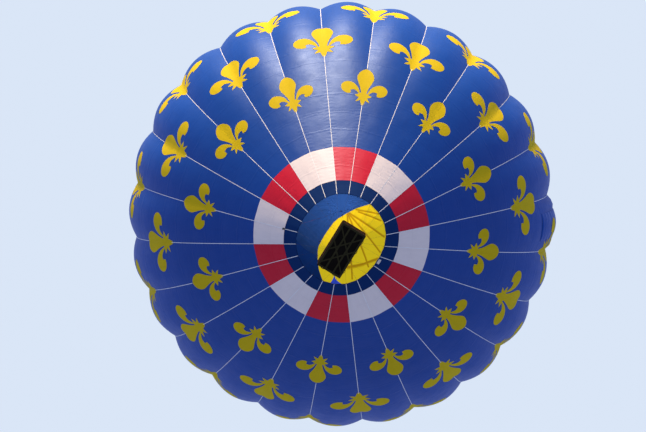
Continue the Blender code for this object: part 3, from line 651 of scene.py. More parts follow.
def wicker_finish(name, colour):
    """Willow rods, each with its own tone, with painted shade darkening the weave's recesses and its core."""
    look = Finish(name, Specular_IOR_Level=0.01)
    fibre = look.group("long fibres", Place=look.spot, Scale=26.0)
    rods = look.mix(look.attribute("rod_tone"), toned(colour, 0.42), toned(colour, 1.6))
    rods = look.mix(look.times(fibre["Mask"], 0.5), rods, colour)
    # Painted shade: the weave's recesses and core are darkened towards near black
    rods = look.mix(look.times(look.attribute("hollow"), 0.8), rods, (0.008, 0.004, 0.002))
    return look.done(rods, look.spread(fibre["Height"], 0.3, 0.7, 0.75, 0.95), fibre["Height"], 0.0012, 0.8)


def rope_finish(name, colour):
    """Laid rope: strands that wind round."""
    look = Finish(name, Specular_IOR_Level=0.01)
    strands = look.add("ShaderNodeTexWave", {"Vector": look.spot, "Scale": 38.0, "Distortion": 1.5},
                       bands_direction="DIAGONAL").outputs["Fac"]
    return look.done(look.mix(strands, colour, toned(colour, 1.9)), look.spread(strands, 0.0, 1.0, 0.9, 0.65),
                     strands, 0.002, 0.8)


def floor_finish(name, colour):
    """Plain pale floor with a faint unevenness."""
    look = Finish(name)
    tone = look.cloudy(look.spot, 0.05, 3.0, 0.5)
    return look.done(look.mix(tone, colour, toned(colour, 1.06)), look.spread(tone, 0.3, 0.7, 0.75, 0.85))


# Each finish's function and its values; a word is one of the colours in the settings
FINISHES = {
    "blue cloth": (cloth_finish, "blue"),
    "inner blue cloth": (cloth_finish, "inner_blue", PANEL_PITCH, 0.05, 0.3),
    "valve cloth": (cloth_finish, "valve", NO_SEAM, 0.05, 0.3),
    "navy cloth": (cloth_finish, "navy", NO_SEAM, 0.03, 0.3),
    "red cloth": (cloth_finish, "red", PANEL_PITCH, 0.09),
    "white cloth": (cloth_finish, "white", PANEL_PITCH, 0.09),
    # The flowers get a stronger painted sheen tint
    "yellow cloth": (cloth_finish, "yellow", NO_SEAM, 0.02, 0.2, (1.14, 1.14, 1.7)),
    "scoop cloth": (scoop_finish, "scoop"),
    "gusset cloth": (cloth_finish, "gusset", NO_SEAM, 0.1),
    "white webbing": (webbing_finish, "webbing"),
    "dark webbing": (webbing_finish, (0.02, 0.02, 0.022)),
    "blank label": (webbing_finish, (0.62, 0.62, 0.60), 900.0),
    "cover cloth": (webbing_finish, "cover", 700.0),
    "steel tube": (metal_finish, (0.52, 0.52, 0.53), (0.70, 0.69, 0.67)),
    "wire steel": (metal_finish, (0.040, 0.042, 0.050), (0.09, 0.09, 0.10), (0.70, 0.85), 0.2, 60.0, 0.1),
    "black metal": (metal_finish, (0.018, 0.018, 0.020), (0.22, 0.21, 0.20), (0.35, 0.55), 0.4),
    "bare aluminium": (metal_finish, (0.66, 0.67, 0.69), (0.80, 0.80, 0.80), (0.30, 0.48)),
    "brass": (metal_finish, (0.60, 0.40, 0.12), (0.72, 0.55, 0.25), (0.25, 0.45)),
    "coil steel": (coil_finish,),
    "dark leather": (leather_finish, "leather", (0.040, 0.025, 0.017)),
    "willow": (wicker_finish, "wicker"),
    "skid wood": (wood_finish, "wood", (0.036, 0.036, 0.020)),
    "deck wood": (wood_finish, "deck", (0.010, 0.009, 0.008), 0.12),
    "rope": (rope_finish, "rope"),
    "line": (rope_finish, (0.10, 0.025, 0.02)),
    "floor": (floor_finish, "floor"),
}


def finish(name):
    """Material by its plain name, built at its first use."""
    made = bpy.data.materials.get(name)
    if made:
        return made
    make, *values = FINISHES[name]
    colours = settings().colours
    return make(name, *(getattr(colours, value) if isinstance(value, str) else value for value in values))


# Mesh helpers

def cloth_mesh():
    """Empty bmesh with the layers that cloth reads."""
    bm = bmesh.new()
    bm.loops.layers.uv.new("UVMap")
    bm.verts.layers.float.new("tape_reach")
    return bm


def new_object(name, bm, finishes, sharp=None, thick=0.0, inner=0, outward=False):
    """Object at the origin from a bmesh, smooth up to an angle in degrees, its faces turned out when asked.

    Cloth has its thickness towards the inside, with another finish there when asked, and crisp cut edges.
    """
    if outward:
        bmesh.ops.recalc_face_normals(bm, faces=bm.faces)
    for face in bm.faces:
        face.smooth = True
    for edge in bm.edges:
        edge.smooth = not (thick and edge.is_boundary)
    mesh = bpy.data.meshes.new(name)
    bm.to_mesh(mesh)
    bm.free()
    if sharp:
        mesh.set_sharp_from_angle(angle=math.radians(sharp))
    for label in finishes.split(", "):
        mesh.materials.append(finish(label))
    obj = bpy.data.objects.new(name, mesh)
    bpy.context.scene.collection.objects.link(obj)
    if thick:
        modifier = obj.modifiers.new("cloth thickness", "SOLIDIFY")
        modifier.thickness = thick
        modifier.offset = -1.0
        modifier.material_offset = inner
    return obj


def piece(name, bm, finishes, slot, *nodes, body="balloon", **shape):
    """Object that rides on a body, hiding the solids that it stands for; the material slot that it is given
    is not used.
    """
    obj = new_object(name, bm, finishes, **shape)
    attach(obj, body)
    if nodes:
        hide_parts(*nodes)
    return obj


def grid(bm, columns, rows):
    """Flat grid of faces, given as the column and row of each vertex."""
    made = bmesh.ops.create_grid(bm, x_segments=columns, y_segments=rows, size=0.5)["verts"]
    return {vert: (round((vert.co.x + 0.5) * columns), round((vert.co.y + 0.5) * rows)) for vert in made}


def faces_of(verts):
    """All faces at some vertices."""
    return {face for vert in verts for face in vert.link_faces}


def skin(bm, sections, around=True, ring=False):
    """Grid laid over rows of points: closed round each row, and its ends filled or joined into a ring.

    Gives each face's row.
    """
    rows, count = len(sections), len(sections[0])
    columns = count if around else count - 1
    spans = rows if ring else rows - 1
    girth = sum((sections[0][k] - sections[0][(k + 1) % count]).length for k in range(columns))
    lengths = [0.0]
    for k in range(spans):
        lengths.append(lengths[-1] + (sections[(k + 1) % rows][0] - sections[k][0]).length)
    where = grid(bm, columns, spans)
    uv = bm.loops.layers.uv.verify()
    bands = {}
    for face in faces_of(where):
        bands[face] = min(where[vert][1] for vert in face.verts)
        for loop in face.loops:
            column, row = where[loop.vert]
            loop[uv].uv = (column / columns * girth, lengths[row])
    for vert, (column, row) in where.items():
        vert.co = sections[row % rows][column % count]
    if around or ring:
        bmesh.ops.remove_doubles(bm, verts=list(where), dist=1e-6)
    if around and not ring:
        bmesh.ops.holes_fill(bm, edges=[edge for edge in bm.edges if edge.is_boundary])
    return bands


def add_tube(bm, points, radius, resolution=2, closed=False):
    """Round tube along a path, made by a curve's bevel; the vertices that it adds come back."""
    curve = bpy.data.curves.new("tube path", "CURVE")
    curve.dimensions = "3D"
    curve.bevel_depth = radius
    curve.bevel_resolution = resolution
    curve.use_fill_caps = not closed
    spline = curve.splines.new("POLY")
    spline.points.add(len(points) - 1)
    for point, where in zip(spline.points, points):
        point.co = (*where, 1.0)
    spline.use_cyclic_u = closed
    carrier = bpy.data.objects.new("tube path", curve)
    mesh = bpy.data.meshes.new_from_object(carrier)
    before = len(bm.verts)
    bm.from_mesh(mesh)
    bm.verts.ensure_lookup_table()
    bmesh.ops.remove_doubles(bm, verts=bm.verts[before:], dist=1e-6)
    bpy.data.objects.remove(carrier)
    bpy.data.meshes.remove(mesh)
    bpy.data.curves.remove(curve)
    bm.verts.ensure_lookup_table()
    return bm.verts[before:]


def around(steps):
    """Even azimuths round a full turn."""
    return np.linspace(0, 2 * math.pi, steps, endpoint=False)


def circle(centre, radius, height, steps):
    """Points of a level circle over a centre."""
    return [centre + polar(radius, angle, height) for angle in around(steps)]


def add_ring(bm, centre, profile, steps):
    """Ring with a closed profile of (radius, height) round a vertical line."""
    skin(bm, [[centre + polar(radius, angle, height) for radius, height in profile]
              for angle in around(steps)], ring=True)


def add_band(bm, centre, inner, outer, half, steps):
    """Flat band round a vertical line."""
    add_ring(bm, centre, ((inner, -half), (outer, -half), (outer, half), (inner, half)), steps)


def add_turned(bm, centre, profile, steps=32):
    """Solid of revolution about a vertical line; the profile is (radius, height) from bottom to top."""
    points = [(0.0, profile[0][1])] + list(profile) + [(0.0, profile[-1][1])]
    line = [bm.verts.new((centre[0] + radius, centre[1], centre[2] + height)) for radius, height in points]
    edges = [bm.edges.new(pair) for pair in zip(line, line[1:])]
    before = len(bm.faces)
    bmesh.ops.spin(bm, geom=line + edges, cent=centre, axis=(0, 0, 1), angle=2 * math.pi, steps=steps,
                   use_merge=True)
    bm.faces.ensure_lookup_table()
    verts = list({vert for face in bm.faces[before:] for vert in face.verts})
    bmesh.ops.remove_doubles(bm, verts=verts, dist=1e-6)
    bm.faces.ensure_lookup_table()
    bmesh.ops.recalc_face_normals(bm, faces=bm.faces[before:])


def add_block(bm, low, high, bevel=0.0, matrix=None):
    """Box between two corners with rounded edges."""
    low, high = Vector(low), Vector(high)
    made = bmesh.ops.create_cube(bm, size=1.0)["verts"]
    bmesh.ops.scale(bm, verts=made, vec=high - low)
    bmesh.ops.translate(bm, verts=made, vec=(low + high) / 2)
    if matrix:
        bmesh.ops.transform(bm, verts=made, matrix=matrix)
    if bevel:
        edges = list({edge for vert in made for edge in vert.link_edges})
        bmesh.ops.bevel(bm, geom=edges, offset=bevel, segments=2, profile=0.5, affect="EDGES", material=-1)


def rounded_rectangle(half_x, half_y, radius, steps, spacing=0.0):
    """Points and outward directions round a rectangle with round corners, more along the sides if asked."""
    corners = []
    for sign_x, sign_y, start in ((1, 1, 0), (-1, 1, 90), (-1, -1, 180), (1, -1, 270)):
        for k in range(steps + 1):
            outward = polar(1, math.radians(start + 90 * k / steps), 0)
            corner = Vector((sign_x * (half_x - radius), sign_y * (half_y - radius), 0))
            corners.append((corner + outward * radius, outward))
    if not spacing:
        return corners
    points = []
    for k, (point, outward) in enumerate(corners):
        after, after_outward = corners[(k + 1) % len(corners)]
        parts = max(1, round((after - point).length / spacing))
        for part in range(parts):
            share = part / parts
            points.append((point.lerp(after, share), outward.lerp(after_outward, share).normalized()))
    return points


def polar(radius, angle, height):
    """Point from its distance to the axis, azimuth and height."""
    return Vector((radius * math.cos(angle), radius * math.sin(angle), height))


def upward(height):
    """Vector straight up."""
    return Vector((0, 0, height))


# The envelope's shape

def tape_angle(index):
    """Azimuth of a load tape."""
    return FIRST_TAPE + index * GORE_ANGLE


def bulge_at(arc):
    """Height of a gore's crest over the width of the gore."""
    return float(np.interp(arc, BULGE_ARCS, BULGE_SHARES))


def outward_at(arc, angle):
    """Direction out of the envelope."""
    slope = MERIDIAN.at(arc)[2]
    return polar(math.cos(slope), angle, -math.sin(slope))


def swell_of_vent(arc, gore, across):
    """Extra bulge of the gore that has the turning vent: a lobe at each side of the flap."""
    low, high = VENT_SPAN
    left, right = FLAP_ACROSS
    if gore != VENT_GORE or not low < arc < high:
        return 0.0
    if across < left:
        lobe = math.sin(math.pi * max(across, 0.0) / left) ** 0.6
    elif across > right:
        lobe = math.sin(math.pi * (1 - min(across, 1.0)) / (1 - right)) ** 0.6
    else:
        lobe = 0.0
    return VENT_SWELL * math.sin(math.pi * (arc - low) / (high - low)) * lobe


def rise_of_flap(gore, across, arc):
    """How far the turning vent's flap stands out from its gore, 0 beside it."""
    low, high = FLAP_SPAN
    left, right = FLAP_ACROSS
    if gore % GORES != VENT_GORE or not (low <= arc <= high and left <= across <= right):
        return 0.0
    over, along = (across - left) / (right - left), (arc - low) / (high - low)
    gather = math.cos(2 * math.pi * arc / 0.42 + 1.3 * math.sin(arc * 2.1))
    pleat = 0.014 * gather * (math.exp(-over / 0.16) + math.exp(-(1 - over) / 0.16))
    ends = math.sin(math.pi * along) ** 0.5
    dome = FLAP_RISE * math.sin(math.pi * over) ** 0.6
    return FLAP_EDGE + (dome + max(pleat, -0.008)) * ends


def ripple(arc, gore, across):
    """How far the cloth stands out between its seams and tapes."""
    panel = abs(math.sin(math.pi * (arc - BAND_ARC) / PANEL_PITCH)) ** 0.6
    between = math.sin(math.pi * across) if 0.0 < across < 1.0 else 0.0
    wander = noise.noise(Vector((gore * 7.3 + across * 2.0, arc * 0.9, 0.0)))
    return between * (0.009 * panel + 0.012 * wander) + swell_of_vent(arc, gore, across)


def mouth_share(arc, angle):
    """Share of its true radius that the soft mouth keeps."""
    drawn = sum(share * math.cos(waves * (angle - math.radians(azimuth)))
                for waves, share, azimuth in MOUTH_DRAWN_IN)
    fade = max(0.0, 1 - (arc - MOUTH_ARC) / (BAND_ARC - MOUTH_ARC)) ** 3
    return 1 - fade * drawn


def on_tape(arc, index):
    """Point in the valley under a load tape."""
    radius, height, _ = MERIDIAN.at(arc)
    return polar(radius * mouth_share(arc, tape_angle(index)), tape_angle(index), height)


def gore_point(arc, gore, across):
    """Point on a gore; across runs from 0 at its first tape to 1 at the next."""
    start, end = on_tape(arc, gore), on_tape(arc, gore + 1)
    crest = bulge_at(arc) * (end - start).length
    lift = 4 * crest * across * (1 - across) + ripple(arc, gore, across)
    return start.lerp(end, across) + outward_at(arc, tape_angle(gore + 0.5)) * lift


def spaced(start, end, count):
    """Even steps from start up to end, without the end."""
    return [start + (end - start) * k / count for k in range(count)]


class ClothNet:
    """The finished cloth of the envelope on a net of columns and rows."""

    def __init__(self):
        self.arcs = spaced(MOUTH_ARC, RING_ARC, MOUTH_ROWS) + spaced(RING_ARC, BAND_ARC, BAND_ROWS)
        self.arcs += spaced(BAND_ARC, VENT_ARC, GORE_ROWS) + [VENT_ARC]
        self.points = [[[gore_point(arc, gore, column / COLUMNS) for column in range(COLUMNS + 1)]
                        for arc in self.arcs] for gore in range(GORES)]
        self.widths = [2 * MERIDIAN.at(arc)[0] * math.sin(GORE_ANGLE / 2) for arc in self.arcs]

    def at(self, gore, across, arc):
        """Point of the cloth between the net's own points."""
        row = min(max(int(np.searchsorted(self.arcs, arc)) - 1, 0), len(self.arcs) - 2)
        up = (arc - self.arcs[row]) / (self.arcs[row + 1] - self.arcs[row])
        column = min(int(across * COLUMNS + 1e-9), COLUMNS - 1)
        over = across * COLUMNS - column
        net = self.points[gore % GORES]
        low = net[row][column].lerp(net[row][column + 1], over)
        high = net[row + 1][column].lerp(net[row + 1][column + 1], over)
        return low.lerp(high, up)

    def lay(self, bm, gore, first, last):
        """Cloth of one gore between two rows, cut in metres, with its distance to the tapes."""
        where = grid(bm, COLUMNS, last - first)
        uv = bm.loops.layers.uv.verify()
        reach = bm.verts.layers.float["tape_reach"]
        for face in faces_of(where):
            for loop in face.loops:
                column, row = where[loop.vert]
                loop[uv].uv = ((column / COLUMNS - 0.5) * self.widths[first + row], self.arcs[first + row])
        for vert, (column, row) in where.items():
            vert.co = self.points[gore][first + row][column]
            vert[reach] = min(column, COLUMNS - column) / COLUMNS * self.widths[first + row]

    def cut(self, first, last):
        """Width, length and area of one gore's cloth between two rows, laid flat."""
        widths = [self.widths[row] * (1 + 8 / 3 * bulge_at(self.arcs[row]) ** 2)
                  for row in range(first, last + 1)]
        steps = [self.arcs[row + 1] - self.arcs[row] for row in range(first, last)]
        area = sum(step * (a + b) / 2 for step, a, b in zip(steps, widths, widths[1:]))
        return max(widths), sum(steps), area


NET = ClothNet()


def post_place():
    """Centre of a corner post, just inside the padded rim."""
    inset = WALL / 2 + RIM_WIDTH / 2 + POST_RADIUS + 2 * GAP
    return BASKET_LENGTH / 2 - inset, BASKET_WIDTH / 2 - inset


class BALLOON_OT_gores(Operator):
    """Sew the 24 blue gores from the checkered band to the vent"""
    bl_idname = "balloon.gores"
    bl_label = "Gores"

    def execute(self, context):
        width, length, area = NET.cut(BAND_ROW, VENT_ROW)
        for gore in range(GORES):
            bm = cloth_mesh()
            NET.lay(bm, gore, BAND_ROW, VENT_ROW)
            cloth = piece(f"gore_{gore + 1:02d}", bm, "blue cloth, inner blue cloth", "blue_cloth",
                          *GORE_NODES, thick=settings().sizes.cloth, inner=1)
        return {"FINISHED"}


class BALLOON_OT_checker(Operator):
    """Sew the ring of red and white blocks, each two gores wide"""
    bl_idname = "balloon.checker"
    bl_label = "Checkered band"

    def execute(self, context):
        bm = cloth_mesh()
        for gore in range(GORES):
            before = len(bm.faces)
            NET.lay(bm, gore, RING_ROW, BAND_ROW)
            bm.faces.ensure_lookup_table()
            for face in bm.faces[before:]:
                face.material_index = gore // 2 % 2
        bmesh.ops.remove_doubles(bm, verts=bm.verts, dist=1e-5)
        cloth = piece("checker_blocks", bm, "red cloth, white cloth", "checker_cloth", "checker_band",
                      thick=settings().sizes.cloth)
        width, length, area = NET.cut(RING_ROW, BAND_ROW)
        return {"FINISHED"}


class BALLOON_OT_mouth(Operator):
    """Sew the navy ring at the mouth, with its hem, its blank label and the line's fitting"""
    bl_idname = "balloon.mouth"
    bl_label = "Mouth ring"

    def execute(self, context):
        bm = cloth_mesh()
        for gore in range(GORES):
            NET.lay(bm, gore, 0, RING_ROW)
        bmesh.ops.remove_doubles(bm, verts=bm.verts, dist=1e-5)
        ring = piece("mouth_ring", bm, "navy cloth", "navy_cloth", "mouth_band", thick=settings().sizes.cloth)
        bm = cloth_mesh()
        steps = [(gore, column / 6) for gore in range(GORES) for column in range(6)]
        add_tube(bm, [NET.at(gore, across, MOUTH_ARC + 0.01) for gore, across in steps], HEM_RADIUS,
                 closed=True)
        add_tube(bm, [NET.at(gore, across, RING_ARC) + outward_at(RING_ARC, tape_angle(gore + across)) * 0.002
                      for gore, across in steps], 0.005, 1, closed=True)
        piping = piece("mouth_hem", bm, "navy cloth", "navy_cloth")
        bm = cloth_mesh()
        clear = outward_at(MOUTH_ARC, tape_angle(LABEL_GORE + 0.5)) * 0.006
        left, right = LABEL_ACROSS
        low, high = LABEL_SPAN
        places = np.linspace(left, right, 5)
        skin(bm, [[NET.at(LABEL_GORE, across, MOUTH_ARC + up) + clear for across in places]
                  for up in np.linspace(low, high, 3)], around=False)
        label = piece("blank_label", bm, "blank label", "white_webbing", thick=0.002)
        width, length, area = NET.cut(0, RING_ROW)
        self.fitting()
        return {"FINISHED"}

    def fitting(self):
        """Small block and ring where the valve's line leaves the envelope."""
        angle = tape_angle(LINE_TAPE)
        base = polar(BAND_INNER_RADIUS, angle, MERIDIAN.at(RING_ARC)[1])
        turn = outward_at(RING_ARC, angle).to_track_quat("Z", "Y").to_matrix()
        bm = cloth_mesh()
        add_block(bm, (-0.035, -0.055, 0.022), (0.035, 0.055, 0.060), 0.008,
                  Matrix.Translation(base) @ turn.to_4x4())
        add_tube(bm, [base + turn @ Vector((0.045 * math.cos(a), 0.0, 0.075 + 0.045 * math.sin(a)))
                      for a in around(24)], 0.007, closed=True)
        piece("line_fitting", bm, "black metal", "black_metal", sharp=40)


class BALLOON_OT_tapes(Operator):
    """Lay the load tapes from the mouth to the crown, yellow where a flower lies over them"""
    bl_idname = "balloon.tapes"
    bl_label = "Load tapes"

    def section(self, arc, index, row):
        """Root in the valley and the two edges of the flat strap over it."""
        root = on_tape(arc, index)
        outward = outward_at(arc, tape_angle(index))
        along = polar(1, tape_angle(index) + math.pi / 2, 0)
        half = settings().sizes.tape / 2
        rise = 0.0
        if row is not None:
            for gore, column in ((index % GORES, 1), ((index - 1) % GORES, COLUMNS - 1)):
                facet = NET.points[gore][row][column] - root
                rise = max(rise, half * facet.dot(outward) / abs(facet.dot(along)))
        top = root + outward * (rise + TAPE_THICKNESS + GAP)
        return [root + outward * GAP, top + along * half, top + outward * 0.001, top - along * half]

    def execute(self, context):
        beyond = spaced(VENT_ARC, CROWN_ARC, 16)[1:] + [CROWN_ARC]
        stations = [(arc, row) for row, arc in enumerate(NET.arcs)] + [(arc, None) for arc in beyond]
        bm = cloth_mesh()
        for index in range(GORES):
            bands = skin(bm, [self.section(arc, index, row) for arc, row in stations])
            for face, band in bands.items():
                if face.is_valid and band < len(NET.arcs) and covered(index, NET.arcs[band]):
                    face.material_index = 1
        piece("tapes", bm, "white webbing, yellow cloth", "white_webbing", "load_tapes", sharp=50,
              outward=True)
        middle = (CROWN_RING_INNER + CROWN_RING_OUTER) / 2
        half_width = (CROWN_RING_OUTER - CROWN_RING_INNER) / 2
        for name, label, slot, low, high, node in (
                ("crown_hub", "white webbing", "white_webbing", CROWN_RING_FOOT, CROWN_RING_SEAT,
                 "load_tapes"),
                ("crown_plate", "bare aluminium", "aluminium", CROWN_RING_SEAT + GAP, CROWN_RING_TOP,
                 "crown_ring")):
            bm = cloth_mesh()
            outline = [(middle + point.x, point.y)
                       for point, _ in rounded_rectangle(half_width, (high - low) / 2, 0.008, 3)]
            add_ring(bm, upward(CROWN_Z + (low + high) / 2), outline, 96)
            piece(name, bm, label, slot, node, sharp=50, outward=True)
        return {"FINISHED"}


def flower_tapes(row):
    """Tapes that a row of flowers stands on."""
    return range(1 - row % 2, GORES, 2)


def flower_start(row):
    """Arc of a row's foot."""
    return FLOWER_FIRST_ARC + row * FLOWER_PITCH


def covered(index, arc):
    """Whether a flower lies over a tape at an arc."""
    length = settings().sizes.flower_length - 0.05
    return any(index in flower_tapes(row) and flower_start(row) <= arc < flower_start(row) + length
               for row in range(FLOWER_ROWS))


class BALLOON_OT_flowers(Operator):
    """Sew the rows of yellow heraldic flowers over the tapes"""
    bl_idname = "balloon.flowers"
    bl_label = "Flowers"

    def flat_flower(self, start):
        """Flat flower cut along the net's own lines: X in widths of a gore, Y along the arc."""
        sizes = settings().sizes
        scale = sizes.flower_width / 2 / FLOWER_WIDEST
        half = [(across * scale, start + sizes.flower_length * (up - 0.1 * up * (1 - up)))
                for across, up in FLOWER_HALF]
        end = start + sizes.flower_length
        bm = cloth_mesh()
        outline = half + [(0.0, end)] + [(-across, along) for across, along in half[:0:-1]]
        bm.faces.new([bm.verts.new((across, along, 0.0)) for across, along in outline])
        bm.normal_update()
        bmesh.ops.triangulate(bm, faces=bm.faces[:])
        cuts = [((k / COLUMNS, 0, 0), (1, 0, 0)) for k in range(-COLUMNS, COLUMNS + 1)]
        cuts += [((0, arc, 0), (0, 1, 0)) for arc in NET.arcs if start < arc < end]
        for point, normal in cuts:
            bmesh.ops.bisect_plane(bm, geom=bm.verts[:] + bm.edges[:] + bm.faces[:], dist=1e-5,
                                   plane_co=point, plane_no=normal)
        bmesh.ops.recalc_face_normals(bm, faces=bm.faces)
        if bm.faces[:][0].normal.z < 0:
            bmesh.ops.reverse_faces(bm, faces=bm.faces)
        mesh = bpy.data.meshes.new("flat flower")
        bm.to_mesh(mesh)
        bm.free()
        return mesh

    def execute(self, context):
        for row in range(FLOWER_ROWS):
            mesh = self.flat_flower(flower_start(row))
            bm = cloth_mesh()
            for index in flower_tapes(row):
                before = len(bm.verts)
                bm.from_mesh(mesh)
                bm.verts.ensure_lookup_table()
                uv = bm.loops.layers.uv.verify()
                for vert in bm.verts[before:]:
                    across, arc = vert.co.x, vert.co.y
                    for loop in vert.link_loops:
                        loop[uv].uv = (across * 2.0, arc)
                    vert[bm.verts.layers.float["tape_reach"]] = 1.0
                    gore, share = (index, across) if across >= 0 else (index - 1, 1 + across)
                    flap = rise_of_flap(gore, share, arc)
                    clear = FLOWER_LIFT + (flap + 0.008 if flap else 0.0)
                    vert.co = NET.at(gore, share, arc) + outward_at(arc, tape_angle(gore + 0.5)) * clear
            bpy.data.meshes.remove(mesh)
            piece(f"flowers_row_{row + 1}", bm, "yellow cloth", "yellow_cloth", thick=0.003)
        return {"FINISHED"}


class BALLOON_OT_turning_vent(Operator):
    """Gather the flap of the turning vent on one gore"""
    bl_idname = "balloon.turning_vent"
    bl_label = "Turning vent"

    def execute(self, context):
        low, high = FLAP_SPAN
        left, right = FLAP_ACROSS
        columns, rows = 32, 72
        sections = []
        for row in range(rows + 1):
            arc = low + (high - low) * row / rows
            outward = outward_at(arc, tape_angle(VENT_GORE + 0.5))
            places = [left + (right - left) * column / columns for column in range(columns + 1)]
            sections.append([NET.at(VENT_GORE, across, arc) + outward * rise_of_flap(VENT_GORE, across, arc)
                             for across in places])
        bm = cloth_mesh()
        skin(bm, sections, around=False)
        flap = piece("vent_flap", bm, "blue cloth", "blue_cloth", "turning_vent", thick=0.003)
        return {"FINISHED"}


class BALLOON_OT_parachute(Operator):
    """Fit the parachute valve under the tapes of the vent, with its lines"""
    bl_idname = "balloon.parachute"
    bl_label = "Parachute valve"

    def execute(self, context):
        edge = MERIDIAN.above(PARACHUTE_RADIUS)
        disc = self.disc(edge, MERIDIAN.above(0.06))
        radius, height, _ = MERIDIAN.at(edge)
        bm = cloth_mesh()
        for k in range(0, GORES, 2):
            add_tube(bm, [polar(radius - 0.03, tape_angle(k), height - 0.022), GATHER], 0.0025, 0)
        add_turned(bm, GATHER - upward(0.03), ((0.02, 0.0), (0.03, 0.01), (0.03, 0.05), (0.02, 0.06)), 16)
        lines = piece("parachute_lines", bm, "valve cloth", "inner_blue_cloth", body="valve")
        low = polar(BAND_INNER_RADIUS - 0.05, tape_angle(LINE_TAPE), MERIDIAN.at(RING_ARC)[1] + 0.02)
        bm = cloth_mesh()
        add_tube(bm, [GATHER.lerp(low, share / 12) for share in range(13)], 0.004, 1)
        pull = new_object("valve_line", bm, "line")
        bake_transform(pull, "valve", "balloon", start=GATHER, end=low)
        return {"FINISHED"}

    def disc(self, edge, inner):
        """Panel that billows between the tapes and is pressed against the gores at its edge."""
        drop = SHELL + GAP + 0.001
        sections = []
        for row in range(25):
            arc = edge + (inner - edge) * row / 24
            radius, height, slope = MERIDIAN.at(arc)
            open_share = min(1.0, max(0.0, (arc - VENT_ARC) / (CROWN_ARC - VENT_ARC)))
            billow = 0.045 * math.sin(math.pi * open_share) ** 0.8
            near_edge = max(0.0, 1 - (arc - edge) / (VENT_ARC - edge))
            line = []
            for k in range(GORES * 6):
                angle, across = tape_angle(k / 6), k % 6 / 6
                billowed = polar(radius - drop * math.cos(slope), angle,
                                 height + drop * math.sin(slope) + billow * math.sin(math.pi * across) ** 0.8)
                pressed = gore_point(arc, k // 6, across) - outward_at(arc, angle) * (TAPE_THICKNESS + 0.002)
                line.append(billowed.lerp(pressed, near_edge))
            sections.append(line)
        bm = cloth_mesh()
        skin(bm, sections)
        rim = {vert for vert in bm.verts if vert.co.to_2d().length > PARACHUTE_RADIUS - 0.06}
        bottom = [face for face in bm.faces if all(vert in rim for vert in face.verts)]
        bmesh.ops.delete(bm, geom=bottom, context="FACES_ONLY")
        width = math.degrees(GORE_ANGLE)
        for vert in bm.verts:
            across = (math.degrees(math.atan2(vert.co.y, vert.co.x)) - math.degrees(FIRST_TAPE)) % width
            reach = math.radians(min(across, width - across)) * vert.co.to_2d().length
            vert[bm.verts.layers.float["tape_reach"]] = reach
        return piece("parachute_cloth", bm, "valve cloth", "inner_blue_cloth", "parachute", body="valve",
                     thick=0.004)


